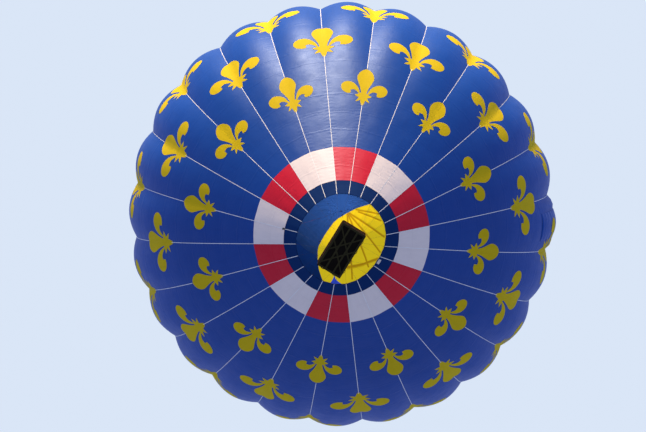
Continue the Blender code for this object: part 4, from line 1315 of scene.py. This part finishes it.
class BALLOON_OT_scoop(Operator):
    """Hang the yellow scoop from the mouth, with its hem, ties, creases and gusset"""
    bl_idname = "balloon.scoop"
    bl_label = "Scoop"

    def place_on_scoop(self, angle, share):
        """Point of the scoop by azimuth and share of its height there, and its share of the whole height."""
        radius, height, slope = MERIDIAN.at(MOUTH_ARC)
        scallop = 0.02 * abs(math.sin((angle - FIRST_TAPE) * GORES / 2))
        top_radius = radius * mouth_share(MOUTH_ARC, angle) - SHELL * math.cos(slope) - SCOOP_LAP - scallop
        top = height + SHELL * math.sin(slope) + GAP
        hem = FRAME_Z + SCOOP_HEM_RISE
        power = abs(math.cos(angle)) ** SCOOP_SQUARENESS + abs(math.sin(angle)) ** SCOOP_SQUARENESS
        hem_radius = SCOOP_HEM_HALF / power ** (1 / SCOOP_SQUARENESS)
        turn = abs((angle + math.pi / 2 + math.pi) % (2 * math.pi) - math.pi)
        reach = SCOOP_FRONT_HEIGHT + (1 - SCOOP_FRONT_HEIGHT) * min(turn / SCOOP_OPEN_HALF, 1.0) ** 3
        rise = reach * share
        return polar(hem_radius + (top_radius - hem_radius) * rise, angle, hem + (top - hem) * rise), rise

    def crease_at(self, point):
        """Depth of the creases at a point, and how near it is to a crease's line, which sets the painted
        shade there.
        """
        tilt = math.tan(CAMERA_TILT) * (MOUTH_Z - point.z)
        flat = Vector((point.x - tilt * math.cos(CAMERA_TURN), point.y - tilt * math.sin(CAMERA_TURN)))
        depth, near = 0.0, 0.0
        for start, end, deep, half in SCOOP_CREASES:
            start, end = Vector(start), Vector(end)
            share = (flat - start).dot(end - start) / (end - start).length_squared
            foot = start + (end - start) * min(max(share, 0.0), 1.0)
            fade = math.exp(-((flat - foot).length / half) ** 2)
            depth = max(depth, deep * fade)
            near = max(near, fade)
        return depth, near

    def execute(self, context):
        sections, crease_shade_reach = [], []
        for row in range(SCOOP_ROWS + 1):
            line = []
            for k in range(SCOOP_COLUMNS):
                angle = tape_angle(0) + 2 * math.pi * k / SCOOP_COLUMNS
                point, rise = self.place_on_scoop(angle, row / SCOOP_ROWS)
                back = 0.5 + 0.5 * math.sin(angle)
                slack = math.sin(math.pi * min(rise, 1.0)) * back
                wander = noise.noise(Vector((point.x * 1.6, point.y * 1.6, point.z * 1.2)))
                hang = 0.05 * slack + 0.020 * slack * wander
                depth, near = self.crease_at(point)
                depth *= min(1.0, 6 * (1 - rise)) * min(1.0, 5 * rise) * back
                inward = Vector((-math.cos(angle), -math.sin(angle), 0.5)).normalized()
                line.append(point - inward * hang + inward * depth)
                crease_shade_reach.append(near * min(1.0, 3 * back))
            sections.append(line)
        cloth = self.cloth(sections, crease_shade_reach)
        bm = cloth_mesh()
        add_tube(bm, sections[0][::2], 0.008, closed=True)
        add_tube(bm, sections[-1][::2], 0.007, closed=True)
        hem = piece("scoop_hem", bm, "scoop cloth", "yellow_cloth")
        ties, gusset = self.ties(sections[-1]), self.gusset()
        return {"FINISHED"}

    def cloth(self, sections, crease_shade_reach):
        """Open tube of cloth, with how near each point is to a crease, which its finish darkens as painted
        shade.
        """
        bm = cloth_mesh()
        crease = bm.verts.layers.float.new("crease")
        count, top = SCOOP_COLUMNS, sections[-1]
        where = grid(bm, count, SCOOP_ROWS)
        uv = bm.loops.layers.uv.verify()
        girth = sum((top[k] - top[(k + 1) % count]).length for k in range(count))
        for face in bm.faces:
            for loop in face.loops:
                column, row = where[loop.vert]
                height = (sections[row][column % count] - sections[0][column % count]).length
                loop[uv].uv = (column / count * girth, height)
        for vert, (column, row) in where.items():
            vert.co = sections[row][column % count]
            vert[crease] = crease_shade_reach[row * count + column % count]
        bmesh.ops.remove_doubles(bm, verts=list(where), dist=1e-6)
        return piece("scoop_cloth", bm, "scoop cloth", "yellow_cloth", "scoop", thick=0.003)

    def ties(self, free_edge):
        """Short dark ties along the free edge and down to the frame."""
        bm = cloth_mesh()
        for degrees in (-150, -115.5, -64.5, -30):
            turn = math.radians(degrees)
            edge = free_edge[round((turn - tape_angle(0)) / (2 * math.pi) * SCOOP_COLUMNS) % SCOOP_COLUMNS]
            away = polar(1, turn, 0)
            add_tube(bm, [edge - away * 0.02, edge + away * 0.05, edge + away * 0.10 - upward(0.03)],
                     0.010, 1)
        for _, sign_x, sign_y in CORNERS:
            point, _ = self.place_on_scoop(math.atan2(sign_y, sign_x), 0.0)
            out = Vector((sign_x, sign_y, 0))
            foot = upward(FRAME_Z + FRAME_TUBE) + out * (FRAME_HALF - 0.03)
            add_tube(bm, [point, point.lerp(foot, 0.5) + out * 0.01, foot], 0.006, 1)
        return piece("scoop_ties", bm, "rope", "black_metal")

    def gusset(self):
        """Bright blue triangle at the left end of the scoop, at the mouth."""
        low, high, apex = (math.radians(degrees) for degrees in (148.5, 162.5, 160))
        rows = []
        for step in range(9):
            share = step / 8
            left = apex + (low - apex) * share ** 1.5
            right = apex + (high - apex) * share ** 1.5
            rise = 0.655 + 0.34 * share
            line = []
            for k in range(7):
                angle = left + (right - left) * k / 6 + 1e-5 * k
                away = Vector((math.cos(angle), math.sin(angle), -0.5)).normalized()
                line.append(self.place_on_scoop(angle, rise)[0]
                            + away * (0.012 + 0.05 * math.sin(math.pi * min(rise, 1.0)) * 0.7))
            rows.append(line)
        bm = cloth_mesh()
        skin(bm, rows, around=False)
        return piece("scoop_gusset", bm, "gusset cloth", "blue_cloth", thick=0.002)


class BALLOON_OT_wires(Operator):
    """Rig six steel wires from each corner of the frame to the tapes"""
    bl_idname = "balloon.wires"
    bl_label = "Flying wires"

    def wire(self, bm, level, index):
        """One wire from a shackle to a tape's end, with its ferrules and its link."""
        slope, angle = MERIDIAN.at(MOUTH_ARC)[2], tape_angle(index)
        tape_end = on_tape(MOUTH_ARC, index)
        along = polar(math.sin(slope), angle, math.cos(slope))
        top = tape_end + outward_at(MOUTH_ARC, angle) * WIRE_STANDOFF - along * 0.012
        aim = Vector((tape_end.x - level.x, tape_end.y - level.y, 0)).normalized()
        foot = level + aim * WIRE_SPREAD * 0.8
        line = (top - foot).normalized()
        add_tube(bm, [foot, top], WIRE_RADIUS * WIRE_FINENESS, 1)
        add_tube(bm, [foot + line * 0.015, foot + line * 0.075], WIRE_RADIUS * 2.0, 1)
        add_tube(bm, [top - line * 0.09, top - line * 0.03], WIRE_RADIUS * 2.0, 1)
        side = polar(1, angle + math.pi / 2, 0)
        add_tube(bm, [top + side * (0.014 * math.cos(a)) + along * (0.020 * math.sin(a)) for a in around(12)],
                 0.0035, 1, closed=True)

    def execute(self, context):
        for name, sign_x, sign_y in CORNERS:
            base = Vector((sign_x * FRAME_HALF, sign_y * FRAME_HALF, FRAME_Z + SOCKET_HEIGHT / 2 + GAP))
            pin = base + upward(SHACKLE_HEIGHT - WIRE_FOOT_DEPTH)
            bm = cloth_mesh()
            for index in range(GORES):
                angle = tape_angle(index)
                if math.cos(angle) * sign_x >= 0 and math.sin(angle) * sign_y >= 0:
                    self.wire(bm, pin, index)
            cross = Vector((-sign_y, sign_x, 0)).normalized()
            outline = rounded_rectangle(SHACKLE_RADIUS - 0.008, SHACKLE_HEIGHT / 2 - 0.008, 0.022, 5)
            add_tube(bm, [base + cross * point.x + upward(SHACKLE_HEIGHT / 2 + point.y)
                          for point, _ in outline], 0.008, closed=True)
            add_tube(bm, [pin + cross * side * 0.038 for side in (-1, 1)], 0.008)
            add_turned(bm, base, ((0.030, 0.0), (0.034, 0.004), (0.034, 0.010), (0.020, 0.016)), 20)
            piece("wires_" + name, bm, "wire steel", "steel", "flying_wires_" + name, sharp=40, outward=True)
        return {"FINISHED"}


class BALLOON_OT_burner_frame(Operator):
    """Weld the load frame with its sockets and pivot blocks, and the gimbal inside it"""
    bl_idname = "balloon.burner_frame"
    bl_label = "Load frame and gimbal"

    def execute(self, context):
        across, along = Vector((1, 0, 0)), Vector((0, 1, 0))
        bm = cloth_mesh()
        add_tube(bm, self.square(FRAME_HALF, FRAME_CORNER), FRAME_TUBE, 4, closed=True)
        wide, narrow = SOCKET_RADIUS, SOCKET_RADIUS - 0.002
        profile = ((wide - 0.003, 0.0), (wide, 0.003), (wide, 0.020), (narrow, 0.022), (narrow, 0.078),
                   (wide, 0.080), (wide, SOCKET_HEIGHT - 0.003), (wide - 0.003, SOCKET_HEIGHT))
        for _, sign_x, sign_y in CORNERS:
            foot = (sign_x * FRAME_HALF, sign_y * FRAME_HALF, FRAME_Z - SOCKET_HEIGHT / 2)
            add_turned(bm, foot, profile, 28)
        self.pivots(bm, FRAME_BLOCK, across, along, 0.0165)
        piece("burner_tubes", bm, "steel tube", "steel", "burner_frame", sharp=40)
        bm = cloth_mesh()
        add_tube(bm, self.square(GIMBAL_HALF, GIMBAL_CORNER), GIMBAL_TUBE, 3, closed=True)
        for sign in (-1, 1):
            add_tube(bm, [across * sign * reach + upward(FRAME_Z) for reach in (GIMBAL_HALF, FRAME_PIN_END)],
                     FRAME_PIN, 3)
        self.pivots(bm, BURNER_BLOCK, along, across, 0.0135)
        piece("gimbal_tubes", bm, "steel tube", "steel", "gimbal_ring", body="gimbal", sharp=40)
        return {"FINISHED"}

    def square(self, half, corner):
        """Level path of a square tube ring."""
        return [point + upward(FRAME_Z) for point, _ in rounded_rectangle(half, half, corner, 8)]

    def pivots(self, bm, block, axis, side, radius):
        """Block and bearing ring on both sides, along an axis."""
        inner, outer, half = block
        for sign in (-1, 1):
            low, high = sorted((sign * (inner + 0.036), sign * outer))
            add_block(bm, axis * low - side * half + upward(FRAME_Z - half),
                      axis * high + side * half + upward(FRAME_Z + half), 0.003)
            self.bearing(bm, axis * sign * (inner + 0.018) + upward(FRAME_Z), axis, radius, 0.018, 0.0045)

    def bearing(self, bm, centre, axis, radius, half_length, half_wall):
        """Bearing ring round a pin, open along its axis."""
        turn = axis.to_track_quat("Z", "Y").to_matrix()
        profile = ((-half_length, -half_wall), (half_length, -half_wall), (half_length, half_wall),
                   (-half_length, half_wall))
        sections = []
        for angle in around(28):
            away = turn @ polar(1, angle, 0)
            sections.append([centre + axis * along + away * (radius + out) for along, out in profile])
        before = len(bm.faces)
        skin(bm, sections, ring=True)
        bm.faces.ensure_lookup_table()
        bmesh.ops.recalc_face_normals(bm, faces=bm.faces[before:])


class BALLOON_OT_burners(Operator):
    """Wind the burners' coils and fit the cans, jets and pipes"""
    bl_idname = "balloon.burners"
    bl_label = "Burners"

    def execute(self, context):
        turns = settings().sizes.coil_turns
        tube = (CAN_HEIGHT - 0.02) / turns / 2 - 0.0012
        inner = CAN_RADIUS - 2 * tube - 0.004
        for name, sign in (("right", 1), ("left", -1)):
            centre = Vector((sign * CAN_OFFSET, 0, FRAME_Z + BASE_TOP + GAP))
            self.coil(name, centre, turns, tube, inner)
            self.jets(name, centre, inner)
        for node in ("burner_base", "blast_valve_right", "blast_valve_left"):
            dress(node, "black metal")
        return {"FINISHED"}

    def coil(self, name, centre, turns, tube, inner):
        """Coil of tube round a thin can, held by three rails."""
        bm = cloth_mesh()
        low, high = 0.012 + tube, CAN_HEIGHT - 0.012 - tube
        add_tube(bm, [centre + polar(CAN_RADIUS - tube - 0.001, 2 * math.pi * turns * share,
                                     low + (high - low) * share)
                      for share in np.linspace(0, 1, turns * 32 + 1)], tube)
        add_ring(bm, centre, ((inner, 0.006), (inner, CAN_HEIGHT), (inner - 0.003, CAN_HEIGHT),
                              (inner - 0.003, 0.009)), 64)
        for degrees in (45, 165, 285):
            add_tube(bm, [centre + polar(CAN_RADIUS - 0.001, math.radians(degrees), height)
                          for height in (0.002, CAN_HEIGHT - 0.002)], 0.004, 1)
        piece("coil_" + name, bm, "coil steel", "coil_steel", "burner_can_" + name, body="burner", sharp=50,
              outward=True)

    def jets(self, name, centre, inner):
        """Dished plate, ring of jets, its two pipes and the pilot light."""
        bm = cloth_mesh()
        add_turned(bm, centre, ((inner - 0.006, 0.004), (inner - 0.006, 0.010), (0.030, 0.014), (0.018, 0.05),
                                (0.010, 0.060)), 40)
        add_tube(bm, circle(centre, JET_RING, 0.055, 32), 0.006, closed=True)
        for k in range(16):
            angle = 2 * math.pi * k / 16
            add_tube(bm, [centre + polar(JET_RING, angle, 0.055), centre + polar(0.060, angle, 0.072)],
                     0.0028, 1)
        for angle in (0.0, math.pi):
            add_tube(bm, [centre + polar(0.060, angle, 0.055), centre + polar(0.055, angle, 0.012)], 0.005, 1)
        add_tube(bm, [centre + Vector((0, 0.035, height)) for height in (0.012, 0.10)], 0.007)
        piece("jets_" + name, bm, "brass", "black_metal", body="burner", sharp=45, outward=True)


def dress(node, label):
    """Give a solid that stays as it is a finish of its own."""
    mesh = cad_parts[node].data
    mesh.materials.clear()
    mesh.materials.append(finish(label))


class BALLOON_OT_uprights(Operator):
    """Pad the four poles between the basket and the load frame"""
    bl_idname = "balloon.uprights"
    bl_label = "Padded poles"

    def execute(self, context):
        foot_x, foot_y = post_place()
        for name, sign_x, sign_y in CORNERS:
            start = Vector((sign_x * foot_x, sign_y * foot_y, BASKET_TOP + POST_ABOVE_RIM + GAP))
            end = Vector((sign_x * FRAME_HALF, sign_y * FRAME_HALF, FRAME_Z - SOCKET_HEIGHT / 2 - GAP))
            self.sleeve(name, start, end, sign_x, sign_y)
            bm = cloth_mesh()
            for strap in POLE_STRAPS:
                add_band(bm, start.lerp(end, strap), UPRIGHT_RADIUS * 0.86, UPRIGHT_RADIUS * 0.94, 0.012, 28)
            piece("straps_" + name, bm, "dark webbing", "cover_cloth", sharp=40, outward=True)
        return {"FINISHED"}

    def sleeve(self, name, start, end, sign_x, sign_y):
        """Padded sleeve, pinched by its straps."""
        rows = 90
        sections = []
        for row in range(rows + 1):
            share = row / rows
            swell = 0.62 + 0.38 * math.sqrt(min(1.0, share / 0.05, (1 - share) / 0.05))
            pinch = sum(0.16 * math.exp(-((share - strap) / 0.012) ** 2) for strap in POLE_STRAPS)
            line = []
            for k in range(24):
                angle = 2 * math.pi * k / 24
                place = Vector((2.5 * math.cos(angle) + sign_x, 2.5 * math.sin(angle) + sign_y, share * 14))
                fold = 0.02 * noise.noise(place)
                line.append(start.lerp(end, share) + polar(UPRIGHT_RADIUS * (swell - pinch + fold), angle, 0))
            sections.append(line)
        bm = cloth_mesh()
        skin(bm, sections)
        sleeve = piece("sleeve_" + name, bm, "cover cloth", "cover_cloth", "upright_" + name, sharp=60)


class BALLOON_OT_posts(Operator):
    """Clad the basket's corner posts in leather"""
    bl_idname = "balloon.posts"
    bl_label = "Corner posts"

    def execute(self, context):
        foot_x, foot_y = post_place()
        low = BASKET_BOTTOM + FLOOR_THICKNESS + GAP
        height = BASKET_TOP + POST_ABOVE_RIM - low
        wide = POST_RADIUS
        profile = ((wide - 0.004, 0.0), (wide, 0.004), (wide, height - 0.05), (wide - 0.003, height - 0.046),
                   (wide - 0.003, height - 0.036), (wide, height - 0.032), (wide, height - 0.006),
                   (wide - 0.006, height))
        for name, sign_x, sign_y in CORNERS:
            bm = cloth_mesh()
            centre = Vector((sign_x * foot_x, sign_y * foot_y, low))
            add_turned(bm, centre, profile, 36)
            seam = math.atan2(-sign_y, -sign_x)
            for k in range(34):
                z = 0.05 + (height - 0.12) * k / 33
                stitch = ((wide - 0.001, seam - 0.09, z), (wide + 0.0015, seam, z + 0.004),
                          (wide - 0.001, seam + 0.09, z + 0.008))
                add_tube(bm, [centre + polar(*place) for place in stitch], 0.0015, 0)
            piece("post_" + name, bm, "dark leather", "leather", "corner_post_" + name, sharp=45)
        return {"FINISHED"}


class BALLOON_OT_wicker(Operator):
    """Weave the four wicker walls from rods and stakes"""
    bl_idname = "balloon.wicker"
    bl_label = "Wicker walls"

    def execute(self, context):
        half_x, half_y = (BASKET_LENGTH - WALL) / 2, (BASKET_WIDTH - WALL) / 2
        short = BASKET_WIDTH - 2 * (WALL + GAP)
        quarter = Matrix.Rotation(math.pi / 2, 4, "Z")
        for name, matrix, length, seed in (
                ("front", Matrix.Translation((0, -half_y, 0)), BASKET_LENGTH, 3),
                ("back", Matrix.Translation((0, half_y, 0)), BASKET_LENGTH, 5),
                ("right", Matrix.Translation((half_x, 0, 0)) @ quarter, short, 7),
                ("left", Matrix.Translation((-half_x, 0, 0)) @ quarter, short, 9)):
            self.wall(name, matrix, length, random.Random(seed))
        return {"FINISHED"}

    def wall(self, name, matrix, length, draw):
        """One wall: woven rods over stakes, with a thin dark core between its faces; core and recesses carry
        painted shade.
        """
        sizes = settings().sizes
        low, high = BASKET_BOTTOM + 0.001, BASKET_TOP - RIM_HEIGHT / 2 - GAP
        stakes = round(length / sizes.stake_pitch)
        pitch = length / stakes
        rows = int((high - low) / sizes.rod_pitch)
        end = length / 2 - 0.001
        bm = bmesh.new()
        tone = bm.verts.layers.float.new("rod_tone")
        hollow = bm.verts.layers.float.new("hollow")
        for row in range(rows):
            z = low + (high - low) / rows * (row + 0.5)
            shift = draw.uniform(-0.001, 0.001)
            points = []
            for k in range(2 * stakes + 1):
                x = -length / 2 + pitch * k / 2
                side = math.sin(math.pi * (k / 2 + 0.5 + row % 2)) * ROD_SWING
                sag = 0.0012 * noise.noise(Vector((x * 7.0, z * 11.0, 0.0)))
                points.append((min(max(x, -end), end), side, z + shift + sag))
            shade = draw.random()
            for vert in add_tube(bm, points, ROD_RADIUS * draw.uniform(0.90, 1.04), 1):
                vert[tone] = shade
                # Painted shade: rod points near the wall's middle plane are darkened
                vert[hollow] = 1.0 - min(1.0, abs(vert.co.y) / 0.012)
        # Stakes sit inside the weave and get painted shade
        for k in range(stakes):
            x = -length / 2 + pitch * (k + 0.5)
            shade = draw.random()
            for vert in add_tube(bm, [(x, 0, low + 0.002), (x, 0, high - 0.002)], 0.0055, 1):
                vert[tone] = shade
                vert[hollow] = 0.6
        # Dark core sheet between the wall's faces, fully darkened as painted shade
        before = len(bm.verts)
        add_block(bm, (-length / 2 + 0.002, -0.003, low), (length / 2 - 0.002, 0.003, high))
        bm.verts.ensure_lookup_table()
        for vert in bm.verts[before:]:
            vert[hollow] = 1.0
        bmesh.ops.transform(bm, verts=bm.verts, matrix=matrix)
        piece("weave_" + name, bm, "willow", "wicker", "wall_" + name)


class BALLOON_OT_rim(Operator):
    """Stuff and lace the leather rim, and bind the basket's lower edge"""
    bl_idname = "balloon.rim"
    bl_label = "Rim and binding"

    def execute(self, context):
        path = rounded_rectangle((BASKET_LENGTH - WALL) / 2, (BASKET_WIDTH - WALL) / 2, RIM_CORNER, 8, 0.014)
        lengths = [0.0]
        for (point, _), (after, _) in zip(path, path[1:]):
            lengths.append(lengths[-1] + (after - point).length)
        sections = []
        for (point, outward), length in zip(path, lengths):
            to_lace = abs((length / LACE_PITCH) % 1.0 - 0.5) * LACE_PITCH
            pinch = 1.0 - 0.10 * math.exp(-(to_lace / 0.011) ** 2) + 0.012 * noise.noise(point * 9.0)
            wide, tall = 0.985 * pinch * RIM_WIDTH / 2, 0.985 * pinch * RIM_HEIGHT / 2
            centre = point + upward(BASKET_TOP)
            sections.append([centre + upward(tall * math.sin(angle)) + outward * (wide * math.cos(angle))
                             for angle in around(18)])
        bm = cloth_mesh()
        skin(bm, sections, ring=True)
        piece("rim_roll", bm, "dark leather", "leather", "rim_pad", outward=True)
        bm = cloth_mesh()
        for k in range(int(lengths[-1] / LACE_PITCH)):
            loop = sections[int(np.searchsorted(lengths, (k + 0.5) * LACE_PITCH))]
            centre = sum(loop, Vector()) / len(loop)
            lace = [point + (point - centre).normalized() * 0.002 for point in loop]
            add_tube(bm, lace, 0.0035, 1, closed=True)
        piece("rim_lacing", bm, "rope", "leather")
        self.binding()
        return {"FINISHED"}

    def binding(self):
        """Leather strip round the lower edge of the walls, with its two rows of stitches."""
        path = rounded_rectangle(BASKET_LENGTH / 2 + 0.003, BASKET_WIDTH / 2 + 0.003, 0.012, 4, 0.03)
        profile = ((-0.002, 0.002), (0.003, 0.002), (0.004, 0.006), (0.004, 0.146), (0.003, 0.150),
                   (-0.002, 0.150))
        bm = cloth_mesh()
        skin(bm, [[point + outward * out + upward(BASKET_BOTTOM + height) for out, height in profile]
                  for point, outward in path], ring=True)
        for height in (0.012, 0.138):
            for (point, outward), (after, _) in zip(path, path[1:] + path[:1]):
                base = upward(BASKET_BOTTOM + height) + outward * 0.004
                add_tube(bm, [point.lerp(after, 0.2) + base, point.lerp(after, 0.7) + base], 0.0014, 0)
        piece("edge_binding", bm, "dark leather", "leather", sharp=40, outward=True)


class BALLOON_OT_handles(Operator):
    """Rope handles along the sides of the basket"""
    bl_idname = "balloon.handles"
    bl_label = "Rope handles"

    def execute(self, context):
        half_x, half_y = BASKET_LENGTH / 2, BASKET_WIDTH / 2
        places = [(x, sign * half_y, 0, sign) for x in (-0.72, -0.24, 0.24, 0.72) for sign in (-1, 1)]
        places += [(sign * half_x, y, sign, 0) for y in (-0.28, 0.28) for sign in (-1, 1)]
        bm = cloth_mesh()
        for x, y, out_x, out_y in places:
            outward, side = Vector((out_x, out_y, 0)), Vector((-out_y, out_x, 0))
            base = Vector((x, y, BASKET_BOTTOM + 0.30))
            path = []
            for k in range(17):
                angle = math.pi * k / 16
                drop = math.sin(angle) ** 0.8
                path.append(base + side * (0.10 * math.cos(angle)) + outward * (0.055 * drop - 0.012)
                            - upward(0.10 * drop))
            add_tube(bm, path, 0.011)
        piece("rope_handles", bm, "rope", "leather")
        return {"FINISHED"}


class BALLOON_OT_underside(Operator):
    """Finish the floor and the skids that show from below"""
    bl_idname = "balloon.underside"
    bl_label = "Floor and skids"

    def execute(self, context):
        dress("basket_floor", "deck wood")
        dress("skid_lattice", "skid wood")
        return {"FINISHED"}


class BALLOON_OT_cylinders(Operator):
    """Stand the gas cylinders in the corners, with valves and straps"""
    bl_idname = "balloon.cylinders"
    bl_label = "Gas cylinders"

    def execute(self, context):
        height, wide = CYLINDER_HEIGHT, CYLINDER_RADIUS
        tank = ((0.117, 0.0), (0.120, 0.004), (0.120, 0.030), (0.108, 0.036), (0.106, 0.046), (0.128, 0.062),
                (0.145, 0.085), (wide - 0.001, 0.110), (wide, 0.16), (wide, height - 0.20),
                (wide - 0.002, height - 0.165), (0.141, height - 0.130), (0.125, height - 0.105),
                (0.100, height - 0.086), (0.076, height - 0.076), (0.080, height - 0.070),
                (0.085, height - 0.062), (0.085, height - 0.004), (0.082, height), (0.079, height - 0.004),
                (0.079, height - 0.060), (0.030, height - 0.066), (0.028, height - 0.040),
                (0.016, height - 0.034))
        wheel = ((0.012, height - 0.034), (0.012, height - 0.012), (0.030, height - 0.010),
                 (0.034, height - 0.006), (0.034, height), (0.010, height + 0.003))
        for name, sign_x, sign_y in CORNERS:
            centre = Vector((sign_x * CYLINDER_X, sign_y * CYLINDER_Y, BASKET_BOTTOM + FLOOR_THICKNESS + GAP))
            bm = cloth_mesh()
            add_turned(bm, centre, tank, 56)
            piece("tank_" + name, bm, "bare aluminium", "aluminium", "gas_cylinder_" + name, sharp=40)
            bm = cloth_mesh()
            aim = math.atan2(-sign_y, -sign_x)
            for level in (0.24, 0.60):
                add_band(bm, centre + upward(level), wide + 0.0005, wide + 0.004, 0.024, 56)
                at_buckle = Matrix.Translation(centre + polar(wide + 0.006, aim, level))
                add_block(bm, (-0.005, -0.028, -0.030), (0.005, 0.028, 0.030), 0.003,
                          at_buckle @ Matrix.Rotation(aim, 4, "Z"))
            piece("tank_straps_" + name, bm, "dark webbing", "cover_cloth", sharp=40, outward=True)
            bm = cloth_mesh()
            add_turned(bm, centre, wheel, 24)
            piece("tank_valve_" + name, bm, "brass", "aluminium", sharp=40)
        return {"FINISHED"}


class BALLOON_OT_stage(Operator):
    """Set the pale floor, the soft lights and the photograph's camera"""
    bl_idname = "balloon.stage"
    bl_label = "Stage"

    def execute(self, context):
        away = polar(1.0, CAMERA_TURN, 0.0)
        axis = upward(math.cos(CAMERA_TILT)) - away * math.sin(CAMERA_TILT)
        up = upward(math.sin(CAMERA_TILT)) + away * math.cos(CAMERA_TILT)
        eye = upward(MOUTH_Z) - axis * CAMERA_DISTANCE
        look = axis * FOCAL_PIXELS - axis.cross(up) * MOUTH_PIXEL[0] - up * MOUTH_PIXEL[1]
        self.camera(eye, look.normalized(), up)
        bm = cloth_mesh()
        bmesh.ops.create_grid(bm, x_segments=2, y_segments=2, size=FLOOR_SIZE)
        bmesh.ops.translate(bm, verts=bm.verts, vec=(0, 0, eye.z - 1.0))
        new_object("pale_floor", bm, "floor")
        self.lights(settings().stage)
        self.background(settings().stage)
        context.scene.view_settings.view_transform = "Standard"
        context.scene.view_settings.look = "None"
        return {"FINISHED"}

    def link(self, name, data):
        """Object in the scene for a camera or a lamp."""
        obj = bpy.data.objects.new(name, data)
        bpy.context.scene.collection.objects.link(obj)
        return obj

    def camera(self, eye, look, up):
        """Camera at the photograph's place."""
        data = bpy.data.cameras.new("photo camera")
        data.sensor_width = SENSOR_WIDTH
        data.sensor_fit = "HORIZONTAL"
        data.lens = SENSOR_WIDTH * FOCAL_PIXELS / PHOTO_WIDTH
        data.clip_start = 0.5
        data.clip_end = 1000.0
        camera = self.link("photo camera", data)
        side = up.cross(-look).normalized()
        turn = Matrix((side, (-look).cross(side), -look)).transposed()
        camera.matrix_world = Matrix.Translation(eye) @ turn.to_4x4()
        bpy.context.scene.camera = camera

    def lights(self, stage):
        """Two large lamps on one side, for colour and for sheen, and two small lamps inside the envelope."""
        for name, light, tint, height, size, diffuse, glossy in (
                ("key light", stage.key, KEY_TINT, KEY_HEIGHT, KEY_SIZE, True, False),
                ("gloss light", stage.gloss, (1.0, 1.0, 1.0), GLOSS_HEIGHT, GLOSS_SIZE, False, True)):
            toward = polar(math.cos(height), stage.key_turn, math.sin(height))
            lamp = bpy.data.lights.new(name, "AREA")
            lamp.shape = "RECTANGLE"
            lamp.size, lamp.size_y = size
            lamp.energy = light * math.pi * KEY_DISTANCE ** 2
            lamp.color = tint
            obj = self.link(name, lamp)
            obj.location = toward * KEY_DISTANCE
            obj.rotation_euler = toward.to_track_quat("Z", "Y").to_euler()
            obj.visible_camera = False
            obj.visible_diffuse = diffuse
            obj.visible_glossy = glossy
        for name, height, share in INSIDE_LAMPS:
            lamp = bpy.data.lights.new(name, "POINT")
            lamp.energy = stage.inside * share
            lamp.shadow_soft_size = 0.6
            self.link(name, lamp).location = (0, 0, height)

    def background(self, stage):
        """Pale background; the light that it gives is weaker than what the camera sees."""
        world = bpy.data.worlds.new("pale studio")
        bpy.context.scene.world = world
        world.use_nodes = True
        nodes = Nodes(world.node_tree)
        nodes.tree.nodes.clear()
        seen = nodes.add("ShaderNodeBackground", {"Color": stage.sky, "Strength": 1.0})
        lit = nodes.add("ShaderNodeBackground", {"Color": SKY_TINT, "Strength": stage.sky_light})
        camera_ray = nodes.add("ShaderNodeLightPath").outputs["Is Camera Ray"]
        mixed = nodes.add("ShaderNodeMixShader", {0: camera_ray, 1: lit.outputs[0], 2: seen.outputs[0]})
        nodes.add("ShaderNodeOutputWorld", {"Surface": mixed.outputs[0]})


class BALLOON_PT_pieces(Panel):
    """Buttons for every piece, and the settings"""
    bl_idname = "BALLOON_PT_pieces"
    bl_label = "Balloon"
    bl_space_type = "VIEW_3D"
    bl_region_type = "UI"
    bl_category = "Balloon"

    def draw(self, context):
        for operator in OPERATORS:
            self.layout.operator(operator.bl_idname)
        chosen = context.scene.balloon_settings
        for title, group in (("Sizes", chosen.sizes), ("Colours", chosen.colours), ("Stage", chosen.stage)):
            box = self.layout.box()
            box.label(text=title)
            for name in group.bl_rna.properties.keys():
                if name not in {"rna_type", "name"}:
                    box.prop(group, name)


OPERATORS = (
    BALLOON_OT_stage, BALLOON_OT_gores, BALLOON_OT_checker, BALLOON_OT_mouth, BALLOON_OT_tapes,
    BALLOON_OT_flowers, BALLOON_OT_turning_vent, BALLOON_OT_parachute, BALLOON_OT_scoop, BALLOON_OT_wires,
    BALLOON_OT_burner_frame, BALLOON_OT_burners, BALLOON_OT_uprights, BALLOON_OT_posts, BALLOON_OT_wicker,
    BALLOON_OT_rim, BALLOON_OT_handles, BALLOON_OT_underside, BALLOON_OT_cylinders,
)
CLASSES = (BalloonSizes, BalloonColours, BalloonStage, BalloonSettings) + OPERATORS + (BALLOON_PT_pieces,)


def register():
    """Register the classes and the scene's settings."""
    for item in CLASSES:
        bpy.utils.register_class(item)
    bpy.types.Scene.balloon_settings = PointerProperty(type=BalloonSettings)


def unregister():
    """Take the settings and the classes away again."""
    del bpy.types.Scene.balloon_settings
    for item in reversed(CLASSES):
        bpy.utils.unregister_class(item)


def main():
    register()
    for operator in OPERATORS:
        group, name = operator.bl_idname.split(".")
        getattr(getattr(bpy.ops, group), name)()


if __name__ == "__main__":
    main()
